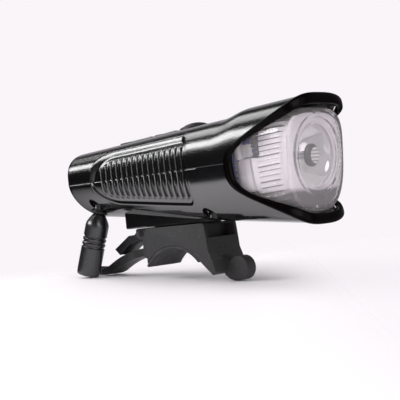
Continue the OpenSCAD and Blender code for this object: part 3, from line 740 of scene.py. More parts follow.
@dataclass(frozen=True)
class Louvre:
    """Dark disc with a round window of white bars that leaves a crescent."""

    name: str
    dark: Colour
    bar: Colour
    pitch: float = 1.25
    middle: float = 1.2
    radius: float = 2.9

    def material(self) -> bpy.types.Material:
        """The bars are a wave along Z, shown within a radius of a point beside the beam's axis.

        Returns:
            The finished material.
        """
        s = Shade.named(self.name)
        wave = s.node("ShaderNodeTexWave", {"bands_direction": "Z", "wave_profile": "SIN"}, {
            "Vector": s.spot(), "Scale": np.pi / (10.0 * self.pitch * MM), "Distortion": 0.0}, 1)
        middle = (self.middle * MM, 0.0, float(BEAM.move[2]) * MM)
        away = s.node("ShaderNodeVectorMath", {"operation": "DISTANCE"},
                      {0: s.spot((1.0, 0.0, 1.0)), 1: middle}, "Value")
        window = away.step((self.radius + 0.2) * MM, (self.radius - 0.2) * MM)
        return s.surface(
            base_color=s.mix(window * (0.35 + 0.65 * wave), self.dark, self.bar),
            roughness=0.3 + 0.1 * wave, normal=s.bump(wave, 0.4, 0.10))


class Finishes:
    """All finishes of the headlight, by the slots of the record."""

    plastics = (
        Plastic("upper_casing", (0.0025, 0.0025, 0.0027), 0.15, 0.50, 0.055, 0.6, 0.2),
        Plastic("lower_casing", (0.002, 0.002, 0.0022), 0.12, 2.6, 0.006, 1.0, 0.4, 0.0, 1.65),
        Plastic("bezel", (0.0015, 0.0010, 0.0011), 0.20, 3.0, 0.004, 0.05, 0.01),
        Plastic("rear_top_pad", (0.03, 0.03, 0.032), 0.12, 2.0, 0.004, 0.8, 0.6),
        Plastic("connector_body", (0.005, 0.005, 0.0055), 0.28, 0.30, 0.020, 1.0, 0.0, 0.3),
        Plastic("bracket_saddle", (0.023, 0.022, 0.023), 0.52, 0.26, 0.030, 0.4, 0.0, 0.5),
        Plastic("release_lever", (0.007, 0.007, 0.0075), 0.45, 0.26, 0.030, 0.3, 0.0, 0.3),
        Plastic("tact_switch", (0.02, 0.02, 0.022), 0.4, 0.3, 0.01),
    )
    rubbers = (
        Rubber("strap", (0.012, 0.012, 0.0125), 0.45),
        Rubber("saddle_pad", (0.030, 0.029, 0.030), 0.62),
        Rubber("mode_button", (0.012, 0.012, 0.013), 0.42),
        Rubber("lead_neck", (0.006, 0.006, 0.0065), 0.5),
        Rubber("lead_grommet", (0.006, 0.006, 0.0065), 0.5),
        Rubber("battery_foam", (0.05, 0.05, 0.052), 0.85),
    )
    metals = (
        Metal("reflector", (0.97, 0.96, 0.98), 0.05, (1, 1, 1), 0.002, 0.55),
        Metal("led_board", (0.80, 0.81, 0.82), 0.3),
        Metal("heat_sink", (0.04, 0.08, 0.62), 0.35, (1, 8, 1)),
        Metal("battery_tabs", (0.70, 0.70, 0.68), 0.3, (1, 8, 1)),
        # Screw heads darker than plated steel: painted shade at the bottom of their deep bores.
        Metal("casing_screws", (0.05, 0.05, 0.055), 0.40),
        Metal("brass_insert", (0.60, 0.38, 0.20), 0.32),
        Metal("connector_contact", (0.72, 0.53, 0.22), 0.25),
    )
    others = (
        Clear("front_lens", (0.97, 0.94, 0.95)),
        # The liner's first colour is painted shade on its lower part, which the chin shades.
        Pale("reflector_frame", (0.05, 0.040, 0.048), (0.66, 0.63, 0.67), (36.5, 39.0)),
        Louvre("led_emitter", (0.04, 0.04, 0.043), (0.85, 0.84, 0.86)),
        Painted("battery_cell", (0.015, 0.04, 0.46), (0.035, 0.08, 0.56), 9.0, 0.35),
        Painted("driver_board", (0.02, 0.12, 0.05), (0.06, 0.24, 0.10), 3.0, 0.4),
    )

    def __init__(self) -> None:
        """Builds every material once."""
        every = self.plastics + self.rubbers + self.metals + self.others
        self.made = {finish.name: finish.material() for finish in every}
        self.made["front_top_pad"] = self.made["rear_top_pad"]

    def dress(self, piece: bpy.types.Object, slot: str) -> None:
        """Gives a piece the finish of a slot.

        Args:
            piece: Finished piece.
            slot: Slot of the record.
        """
        piece.data.materials.clear()
        piece.data.materials.append(self.made[slot])

    def dress_node(self, node: str) -> None:
        """Gives a frame node the finish of its own slot.

        Args:
            node: Name of the frame node.
        """
        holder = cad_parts[node]
        if not holder.material_slots:
            holder.data.materials.append(self.made[node])
        for place in holder.material_slots:
            place.material = self.made[node]


class Workshop:
    """Hands finished pieces over to their bodies."""

    def __init__(self) -> None:
        """Makes the finishes."""
        self.finishes = Finishes()

    def fit(self, piece: bpy.types.Object, node: str, body: str) -> None:
        """Dresses a piece, lets it ride on its body and stand for its frame node.

        Args:
            piece: Finished piece.
            node: Frame node that it stands for, also its slot.
            body: Body that it rides on.
        """
        self.finishes.dress(piece, node)
        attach(piece, body)
        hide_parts(node)
        LOG.info("%s: %d faces on %s", piece.name, len(piece.data.polygons), body)

    def keep(self, node: str) -> None:
        """Leaves a frame node in view with a better finish."""
        self.finishes.dress_node(node)
        LOG.info("%s: frame node kept", node)


@dataclass(frozen=True)
class CasingForm:
    """Outer form that both shells, the bezel and the lens share."""

    rear_y: float = 45.2
    rear_w: float = 37.6
    head_w: float = 43.0
    flare_l: float = 84.0
    crown_h: float = 17.8
    visor_rise: float = 1.9
    visor_start: float = -32.0
    visor_l: float = 12.0
    belly_rear: float = 8.6
    belly_front: float = 26.0
    apex_y: float = 37.5
    visor_y: float = 66.2
    chin_y: float = 60.4
    up_pow: float = 2.9
    low_pow_rear: float = 1.75
    low_pow_head: float = 2.9
    edge_pow_up: float = 1.2
    edge_pow_low: float = 2.2
    part_rise: float = 5.0

    def seam(self, y: Array) -> Array:
        """Height of the parting line: flat ahead of the side window, then a straight rise."""
        return self.part_rise * np.maximum(0.0, y + self.apex_y) / (self.rear_y + self.apex_y)

    def flare(self, y: Array) -> Array:
        """Smooth step from 0 at the rear to 1 at the head."""
        return ease((self.rear_y - y) / self.flare_l)

    def half_w(self, y: Array) -> Array:
        """Half width at y: from the rear width to the head's as the casing flares."""
        return self.rear_w / 2 + (self.head_w - self.rear_w) / 2 * self.flare(y)

    def height(self, y: Array, up: bool) -> Array:
        """Signed height: the crown has a smooth step at the visor, the belly is a straight line.

        Args:
            y: Place along the casing.
            up: Upper or lower half.

        Returns:
            Height above the axis, negative for the belly.
        """
        if up:
            return self.crown_h + self.visor_rise * ease((self.visor_start - y) / self.visor_l)
        slope = (self.belly_front - self.belly_rear) / (self.rear_y + RING_Y)
        return -(self.belly_rear + slope * (self.rear_y - y))

    def power(self, y: Array, up: bool) -> Array | float:
        """Power of the superellipse at y.

        Args:
            y: Place along the casing.
            up: Upper or lower half.

        Returns:
            The power, one number for the upper half.
        """
        if up:
            return self.up_pow
        return self.low_pow_rear + (self.low_pow_head - self.low_pow_rear) * self.flare(y)

    def skin(self, y: Array, t: Array, off: Array | float, up: bool) -> Array:
        """Point of the section at y: a superellipse on the parting line, grown by off.

        Args:
            y: Place along the casing.
            t: Angle in radians, 0 at the flank towards -X, a half turn at the one towards +X.
            off: Growth of the section.
            up: Upper or lower half.

        Returns:
            Points, broadcast over y and t.
        """
        y, t, off = np.broadcast_arrays(y, t, off)
        seam = self.seam(y)
        p, h = self.power(y, up), self.height(y, up) - seam
        x = -(self.half_w(y) + off) * spread(np.cos(t), p)
        z = seam + (h + (off if up else -off)) * spread(np.sin(t), p)
        return np.stack([x, y, z], -1)

    def edge(self, t: Array, up: bool) -> Array:
        """Front edge at angle t: a V at the flank that sweeps out to the visor or the chin.

        Args:
            t: Angle in radians.
            up: Upper or lower half.

        Returns:
            Place of the edge along the casing.
        """
        reach, power, bend = ((self.visor_y, self.edge_pow_up, self.up_pow) if up
                              else (self.chin_y, self.edge_pow_low, self.low_pow_head))
        share = spread(np.sin(t), bend)
        return -self.apex_y - (reach - self.apex_y) * ease(share) ** power


FORM = CasingForm()


def quarter(power: float, flank: int, crown: int) -> Array:
    """Angles of a quarter section, even in height up the flank, then even in width over the crown.

    Args:
        power: Power of the superellipse.
        flank: Points up the flank.
        crown: Points over the crown.

    Returns:
        Angles from 0 to a quarter turn.
    """
    corner = 0.5 ** (1 / power)
    low = np.arcsin(np.linspace(0, corner, flank) ** (power / 2))
    high = np.arccos(np.linspace(corner, 0, crown)[1:] ** (power / 2))
    return np.concatenate([low, high])


def both_flanks(q: Array) -> Array:
    """Angles of a quarter section, carried on over the crown to the other flank."""
    return np.concatenate([q, np.pi - q[-2::-1]])


def is_upper(t: Array) -> Array:
    """Whether an angle lies on the upper half, flanks included."""
    return np.sin(t) >= -1e-12


def folded(t: Array) -> Array:
    """Angle, with the lower half mirrored up on to the upper one."""
    return np.where(t > np.pi, ROUND - t, t)


@dataclass
class Grip:
    """Recessed panel with upright ribs on each flank."""

    rib_count: int = 16
    rib_pitch: float = 2.9
    rib_w: float = 1.5
    depth: float = 0.9
    front: float = 19.5
    rear: float = 32.0
    round_l: float = 13.0
    corner: float = 0.74
    corner_l: float = 3.2
    front_bevel: float = 0.5
    rib_soft: float = 0.26
    rib_end: float = 1.5
    rib_first: float = 2.6
    rib_low: float = 0.1
    rib_least: float = 2.0
    bead_h: float = 0.09
    bead_w: float = 0.24
    bead_out: float = 0.3
    steepest: float = 9.0
    straight: float = 0.7

    def share(self, y: Array) -> Array:
        """Share of the panel's height at y: a round rear end, round front corners, 1 between.

        Args:
            y: Place along the casing.

        Returns:
            Share from 0 to 1.
        """
        bow = np.clip((y - self.rear + self.round_l) / self.round_l, 0, 1)
        back = np.sqrt(1 - bow * bow)
        left = 1 - np.clip((y + self.front) / self.corner_l, 0, 1)
        nose = self.corner + (1 - self.corner) * np.sqrt(1 - left * left)
        return np.where(y > self.rear, 0.0, np.minimum(back, nose))

    def relief(self, y: Array, w: Array, reach: Array, margin: float, bevel: float) -> Array:
        """Depth of the skin at y and at the distance w from the parting line.

        d is the distance inside the panel's long edge: the way to it along w, divided by the length
        of that edge's slope. The floor is the lesser of two ramps, one of d over the bevel and one
        of the way to the front edge. A rib is a smooth plateau across y with a tapered end along w.
        A low bead runs outside the edge.

        Args:
            y: Column of places along the casing.
            w: Grid of distances from the parting line.
            reach: Column of distances to the panel's full edge.
            margin: Gap between the ribs' ends and the panel's edge.
            bevel: Width of the slope along the long edge.

        Returns:
            Depths, positive inwards.
        """
        top = reach * self.share(y)
        slope = np.gradient(top[:, 0], y[:, 0])[:, None]
        slope = np.clip(slope, -self.steepest, self.steepest)
        d = (top - w) / np.sqrt(1 + slope ** 2)
        ahead = y + self.front
        ramp = np.clip(np.minimum(d / bevel, ahead / self.front_bevel), 0, 1)
        floor = self.depth * (self.straight * ramp + (1 - self.straight) * ease(ramp))
        start = -self.front + self.rib_first
        rib = np.clip(np.rint((y - start) / self.rib_pitch), 0, self.rib_count - 1)
        away = np.abs(y - start - rib * self.rib_pitch)
        across = ease((self.rib_w / 2 + self.rib_soft - away) / (2 * self.rib_soft))
        end = top - margin
        along = ease((end - w) / self.rib_end) * (end > self.rib_least)
        crest = np.minimum((self.depth - self.rib_low) * across * along, floor)
        out = (np.minimum(d, ahead) + self.bead_out) / self.bead_w
        return floor - crest - self.bead_h * np.exp(-out ** 2)


@dataclass
class CasingHalf:
    """One moulded shell of the casing; the inner skin keeps every `skip`-th row and column."""

    up: bool
    wall: float = 1.8
    rear_r: float = 1.2
    grip_angle: float = 42.0
    margin: float = 3.9
    bevel: float = 2.4
    lip: float = 0.22
    low_pow: float = 2.4
    seam_cols: tuple[float, ...] = (0.003, 0.006, 0.010, 0.015)
    flank_cols: int = 49
    crown_cols: int = 33
    rim_rows: int = 7
    back_rows: int = 13
    back_end: float = 33.2
    grip_rows: tuple[float, float] = (33.0, -20.4)
    row_step: float = Grip.rib_pitch / 15
    ahead_rows: int = 15
    ahead_start: float = -20.5
    sweep_rows: int = 49
    sweep_start: float = -FORM.apex_y + 6
    skip: int = 4

    def angles(self) -> Array:
        """Angles of the columns, from flank to flank, close together beside the parting line.

        Returns:
            Angles in radians.
        """
        power = FORM.up_pow if self.up else self.low_pow
        near = np.arcsin(np.array(self.seam_cols) ** (power / 2))
        rest = quarter(power, self.flank_cols, self.crown_cols)[1:]
        return both_flanks(np.concatenate([[0.0], near, rest]))

    def rows(self, t: Array) -> tuple[Array, Array, int]:
        """Stations of the grid: rear rim, grip, then rows that sweep to the front edge.

        Args:
            t: Angles of the columns.

        Returns:
            Place along the casing and growth of the section for each row and column, and the
            number of rows of the rear rim.
        """
        bend = np.linspace(0, np.pi / 2, self.rim_rows)
        rim_y = FORM.rear_y - self.rear_r * (1 - np.cos(bend))
        rim_off = -self.rear_r * (1 - np.sin(bend))
        flat = np.concatenate([
            np.linspace(FORM.rear_y - self.rear_r, self.back_end, self.back_rows)[1:],
            np.arange(*self.grip_rows, -self.row_step),
            np.linspace(self.ahead_start, self.sweep_start, self.ahead_rows)])
        sweep = np.linspace(0, 1, self.sweep_rows)[1:, None]
        swept = self.sweep_start + (FORM.edge(t, self.up) - self.sweep_start) * sweep
        plane = np.concatenate([rim_y, flat])[:, None] + 0 * t
        spare = (len(plane) + len(swept) - self.rim_rows) % self.skip
        plane = np.delete(plane, np.arange(spare) + self.rim_rows + 2, 0)
        y = np.concatenate([plane, swept])
        off = np.zeros_like(y)
        off[:self.rim_rows] = rim_off[:, None]
        return y, off, self.rim_rows - 1

    def shell(self) -> Shell:
        """Closed shell: outer skin with the grip's relief, inner skin a wall's thickness inside.

        Returns:
            The shell, in the casing's frame.
        """
        t = self.angles()
        y, off, rear = self.rows(t)
        base = FORM.skin(y, t, 0.0, self.up)
        half = len(t) // 2
        run = np.linalg.norm(np.diff(base[:, :half + 1], axis=1), axis=-1)
        w = np.concatenate([np.zeros((len(y), 1)), np.cumsum(run, 1)], 1)
        w = np.concatenate([w, w[:, -2::-1]], 1)
        edge = math.radians(self.grip_angle)
        near = np.searchsorted(t[:half], edge)
        share = (edge - t[near - 1]) / (t[near] - t[near - 1])
        reach = w[:, near - 1:near] * (1 - share) + w[:, near:near + 1] * share
        depth = Grip().relief(y[:, half:half + 1], w, reach, self.margin, self.bevel)
        depth += self.lip * (1 - np.clip(w / self.lip, 0, 1)) ** 2
        shell = Shell(CASING)
        outer = shell.grid(FORM.skin(y, t, off - depth, self.up))
        keep_rows = np.arange(rear, len(y), self.skip)
        keep_cols = np.arange(0, len(t), self.skip)
        inside = np.minimum(y[np.ix_(keep_rows, keep_cols)], FORM.rear_y - self.wall)
        inner = shell.grid(FORM.skin(inside, t[keep_cols], -self.wall, self.up))
        shell.cap(outer[0], inner[0])
        shell.rim(outer[-1], inner[-1], keep_cols)
        shell.rim(outer[:, 0], inner[:, 0], keep_rows)
        shell.rim(outer[:, -1], inner[:, -1], keep_rows)
        shell.cap(np.concatenate([
            outer[rear::-1, 0], outer[:rear + 1, -1], inner[0, -1:], inner[0, :1]]))
        return shell


BUTTON_Y = -9.6


@dataclass(frozen=True)
class Screw:
    """Boss inside the lower shell and the bore that leads up to its seat."""

    at: tuple[float, float]
    boss_r: float
    boss_z: tuple[float, float]
    bore_r: float
    seat: float


@dataclass
class Casing:
    """Upper and lower shell with the button hole, the foot and its slot, and the screw holes.

    Tools reach past what they cut by `over`. The notch is measured forward from the foot's rear.
    """

    button_hole_r: float = 6.6
    button_hole_h: float = 6.0
    foot_h: float = 24.9
    foot_front: float = -16.0
    foot_rear: float = 22.5
    foot_hw: float = 9.7
    foot_corner: float = 0.5
    lip_t: float = 1.8
    neck_hw: float = 4.5
    head_hw: float = 7.1
    slot_top: float = 29.4
    slot_tail: float = 9.0
    notch_hw: float = 5.0
    notch_y: tuple[float, float] = (3.5, 0.5)
    over: float = 1.0
    screws: tuple[Screw, ...] = (
        Screw((14.4, -23.2), 4.0, (-12.0, -0.5), 3.3, -4.2),
        Screw((13.7, 35.8), 3.2, (-0.2, 4.0), 2.6, -1.0),
    )
    bore_end: float = -27.0
    insert_at: tuple[float, float] = (-5.0, -21.6)
    insert_r: float = 1.6
    insert_z: tuple[float, float] = (-24.0, -13.6)
    exit_r: float = 3.4
    exit_z: tuple[float, float] = (-0.8, 8.0)
    bush_r: float = 2.7
    bush_z: tuple[float, float] = (-8.0, 4.0)

    def upper(self) -> bpy.types.Object:
        """Upper shell with the round hole of the button.

        Returns:
            The new object.
        """
        piece = CasingHalf(True).shell().build("upper_shell")
        hole = Shell(CASING)
        low, high = FORM.crown_h - self.button_hole_h, FORM.crown_h + self.button_hole_h
        hole.rod((0, BUTTON_Y), self.button_hole_r, low, high, 96)
        carve(piece, hole, Carve.CUT)
        return piece

    def foot(self) -> Shell:
        """Foot block under the casing, its lower corners a little rounded.

        Returns:
            The block, in the bar's frame.
        """
        r, w = self.foot_corner, self.foot_hw
        lo, hi = self.foot_h, self.slot_top + self.lip_t
        ring = np.array([[-w, hi], [-w, lo + r], [-w + r, lo], [w - r, lo], [w, lo + r], [w, hi]])
        block = Shell(BAR)
        block.prism(ring, self.foot_front, self.foot_rear)
        return block

    def slot(self) -> Shell:
        """Tool for the T-slot, open at the rear, where it also clears the belly.

        Returns:
            The tool, in the bar's frame.
        """
        n, h, top = self.neck_hw, self.head_hw, self.slot_top
        low, lip = self.foot_h - self.over, self.foot_h + self.lip_t
        ring = np.array([[-n, low], [n, low], [n, lip], [h, lip], [h, top],
                         [-h, top], [-h, lip], [-n, lip]])
        tool = Shell(BAR)
        tool.prism(ring, self.foot_front + self.over, self.foot_rear + self.slot_tail)
        return tool

    def lower(self) -> bpy.types.Object:
        """Lower shell with the foot, the slot, the catch's notch and all bores.

        Returns:
            The new object.
        """
        half = CasingHalf(False, grip_angle=37.0, margin=2.3, bevel=1.1)
        piece = half.shell().build("lower_shell")
        bosses, bores = Shell(CASING), Shell(CASING)
        for side in (-1, 1):
            for screw in self.screws:
                at = (side * screw.at[0], screw.at[1])
                bosses.rod(at, screw.boss_r, *screw.boss_z)
                bores.rod(at, screw.bore_r, self.bore_end, screw.seat)
        bores.rod(self.insert_at, self.insert_r, *self.insert_z)
        notch, (behind, ahead) = Shell(BAR), self.notch_y
        notch.block((-self.notch_hw, self.foot_rear - behind, self.foot_h - self.over),
                    (self.notch_hw, self.foot_rear - ahead, self.foot_h + self.over))
        exit_hole, bush_hole = Shell(LEAD), Shell(LEAD)
        exit_hole.rod((0, 0), self.exit_r, *self.exit_z)
        bush_hole.rod((0, 0), self.bush_r, *self.bush_z)
        for tool in (self.foot(), bosses):
            carve(piece, tool, Carve.ADD)
        for tool in (self.slot(), notch, bores, exit_hole, bush_hole):
            carve(piece, tool, Carve.CUT)
        return piece


@dataclass
class LensForm:
    """Outline of the lens and of the opening in the bezel."""

    half_w: float = 19.2
    up: float = 15.6
    down: float = 22.0
    pow_up: float = 3.4
    pow_low: float = 2.9
    pow_mid: float = 3.1

    def turns(self, flank: int, crown: int) -> Array:
        """Angles once round the outline."""
        half = both_flanks(quarter(self.pow_mid, flank, crown))
        return np.concatenate([half, ROUND - half[-2:0:-1]])

    def outline(self, t: Array, off: Array | float) -> tuple[Array, Array]:
        """Superellipse of the lens, grown by off: x and z at the angle t.

        Args:
            t: Angle in radians.
            off: Growth of the outline.

        Returns:
            Arrays of x and z.
        """
        above = is_upper(t)
        p = np.where(above, self.pow_up, self.pow_low)
        h = np.where(above, self.up + off, -self.down - off)
        x = -(self.half_w + off) * spread(np.cos(t), p)
        return x, h * np.abs(np.sin(t)) ** (2 / p)


LENS = LensForm()


def opening(t: Array) -> Array:
    """Front edge of the shells once round the opening."""
    fold = folded(t)
    return np.where(is_upper(t), FORM.edge(fold, True), FORM.edge(fold, False))


def face_y(z: Array) -> Array:
    """Place of the lens's face, which leans so that it stands upright on the beam."""
    return -RING_Y - math.tan(math.radians(NOSE_UP)) * (z + RING_Z)


@dataclass
class Bezel:
    """Black bead round the front opening, from the visor's lip to the points at the flanks.

    Each pair of the bead is a share of its height and a share of its width.
    """

    gap: float = 0.3
    width: float = 2.8
    proud: float = 0.45
    wall: float = 1.8
    bead: tuple[tuple[float, float], ...] = ((0.4, 0.0), (1.0, 0.35), (0.7, 0.75))
    lip: float = 0.5
    flare: float = 0.4

    def on_skin(self, t: Array, off: float, ahead: float) -> Array:
        """Loop on the casing's skin, grown by off and pushed forward.

        Args:
            t: Angles once round.
            off: Growth of the section.
            ahead: Way ahead of the opening.

        Returns:
            Points of the loop.
        """
        y, fold = opening(t) - ahead, folded(t)
        above, below = (FORM.skin(y, fold, off, up) for up in (True, False))
        return np.where(is_upper(t)[:, None], above, below)

    def on_lens(self, t: Array, off: float, ahead: float) -> Array:
        """Loop on the lens's outline, grown by off and pushed forward."""
        x, z = LENS.outline(t, off)
        return np.stack([x, opening(t) - ahead, z], -1)

    def piece(self) -> bpy.types.Object:
        """Ring through eight loops whose corners are cut twice.

        Returns:
            The new object.
        """
        t = LENS.turns(56, 34)
        near, far = self.gap, self.gap + self.width
        outside = [self.on_skin(t, self.proud * high, near + self.width * way)
                   for high, way in self.bead]
        loops = np.stack(outside + [
            self.on_skin(t, -self.lip, far),
            self.on_lens(t, self.gap + self.flare, far),
            self.on_lens(t, self.gap, far - self.lip),
            self.on_lens(t, self.gap, near),
            self.on_skin(t, -self.wall, near)])
        shell = Shell(CASING)
        shell.grid(chaikin(loops, 2, True), True, True)
        return shell.build("bezel_bead", BEADED)


@dataclass
class Lens:
    """Clear cover: a skirt fluted inside, a rounded edge and a face with a raised ring."""

    thick: float = 1.6
    edge_r: float = 4.4
    skirt: float = 7.0
    tuck: float = 2.4
    flute_h: float = 0.5
    flute_pitch: float = 1.75
    flute_start: float = -48.5
    flute_fade: float = 0.8
    flute_x: float = 11.0
    flute_x_fade: float = 3.0
    ring_r: float = 15.0
    ring_w: float = 2.2
    ring_h: float = 0.6
    ring_slope: tuple[float, float] = (0.9, 1.0)
    step_h: float = 0.2
    step_in: tuple[float, float] = (1.6, 0.6)
    slope: float = 0.3
    tab_hw: float = 2.2
    tab_h: float = 0.5
    tab_half: float = 0.7
    tabs_z: tuple[float, float] = (13.4, -19.8)
    tall_share: float = 0.2
    hub: float = 0.02

    def rear(self, t: Array) -> Array:
        """Rear edge of the skirt: behind the opening's edge, and never shorter than the skirt."""
        _, z = LENS.outline(t, 0.0)
        return np.maximum(opening(t) + self.tuck, face_y(z) + self.skirt)

    def ring(self, x: Array, z: Array) -> Array:
        """Height of the face's mouldings: a raised ring, a low step inside it, two small tabs.

        Args:
            x: Place across the face.
            z: Height on the face.

        Returns:
            Heights, positive outwards.
        """
        r = np.hypot(x, z + RING_Z)
        inner = self.ring_r - self.ring_w
        (rise, fall), (far, near) = self.ring_slope, self.step_in
        wall = self.ring_h * ease((r - inner) / rise) * ease((self.ring_r - r) / fall)
        step = ease((r - inner + far) / self.slope) * ease((inner - near - r) / self.slope)
        step = self.step_h * step
        across = self.tab_h * ease((self.tab_hw - np.abs(x)) / self.slope)
        tabs = sum(ease((self.tab_half - np.abs(z - at)) / self.slope) for at in self.tabs_z)
        return wall + step + across * tabs

    def flutes(self, x: Array, y: Array, z: Array) -> Array:
        """Depth of the flutes: rounded ridges stacked in z, on the flanks ahead of their start.

        Args:
            x: Place across.
            y: Place along the casing.
            z: Height.

        Returns:
            Depths, positive inwards.
        """
        ridge = np.abs(np.sin(np.pi * z / self.flute_pitch))
        flank = ease((np.abs(x) - self.flute_x) / self.flute_x_fade)
        return self.flute_h * ridge * flank * ease((self.flute_start - y) / self.flute_fade)

    def bend(self, t: Array, off: float, radius: float, depth: float, steps: int) -> Array:
        """Rows round the lens's edge, from the skirt to the face.

        Args:
            t: Angles of the columns.
            off: Growth of the outline.
            radius: Radius of the bend.
            depth: Depth of the face behind the outer one.
            steps: Number of rows.

        Returns:
            Points, row by row.
        """
        b = np.linspace(0, np.pi / 2, steps)[:, None]
        inset = radius * (1 - np.cos(b))
        x, _ = LENS.outline(t, off - inset)
        _, z = LENS.outline(t, off - self.tall_share * inset)
        y = face_y(z) + depth + radius * (1 - np.sin(b))
        return np.stack([x, y, z], -1)

    def wall(self, t: Array, off: float, front: Array, steps: int) -> Array:
        """Rows of the skirt, from its rear edge to the first row of the bend.

        Args:
            t: Angles of the columns.
            off: Growth of the outline.
            front: First row of the bend.
            steps: Number of rows.

        Returns:
            Points, row by row.
        """
        k = np.linspace(0, 1, steps, endpoint=False)[:, None]
        y = self.rear(t) * (1 - k) + front[:, 1] * k
        x, z = LENS.outline(t, off)
        return np.stack([x + 0 * k, y, z + 0 * k], -1)

    def face(self, edge: Array, depth: float, steps: int) -> Array:
        """Rows that shrink the bend's last row to the ring's centre, on the leaning face.

        Args:
            edge: Last row of the bend.
            depth: Depth behind the outer face.
            steps: Number of rows.

        Returns:
            Points, row by row.
        """
        k = np.linspace(1, self.hub, steps)[1:, None]
        x, z = edge[:, 0] * k, -RING_Z + (edge[:, 2] + RING_Z) * k
        return np.stack([x, face_y(z) + depth, z], -1)

    def piece(self) -> bpy.types.Object:
        """Outer and inner skin, joined along the rear edge.

        Returns:
            The new object.
        """
        t, skirt_rows = LENS.turns(84, 30), 10
        bend = self.bend(t, 0.0, self.edge_r, 0.0, 12)
        skirt = self.wall(t, 0.0, bend[0], skirt_rows)
        outer = np.concatenate([skirt, bend, self.face(bend[-1], 0.0, 76)])
        outer[skirt_rows:, :, 1] -= self.ring(outer[skirt_rows:, :, 0], outer[skirt_rows:, :, 2])
        inside = self.bend(t, -self.thick, self.edge_r - self.thick, self.thick, 10)
        skirt = self.wall(t, -self.thick, inside[0], 26)
        inner = np.concatenate([skirt, inside, self.face(inside[-1], self.thick, 14)])
        inner[..., 0] -= np.sign(inner[..., 0]) * self.flutes(*np.moveaxis(inner, -1, 0))
        shell = Shell(CASING)
        a = shell.grid(outer, False, True)
        b = shell.grid(inner, False, True)
        shell.weave(np.stack([b[0], a[0]]), False, True)
        shell.cap(a[-1], b[-1])
        made = shell.build("clear_cover", SOFT)
        made.visible_shadow = False
        return made


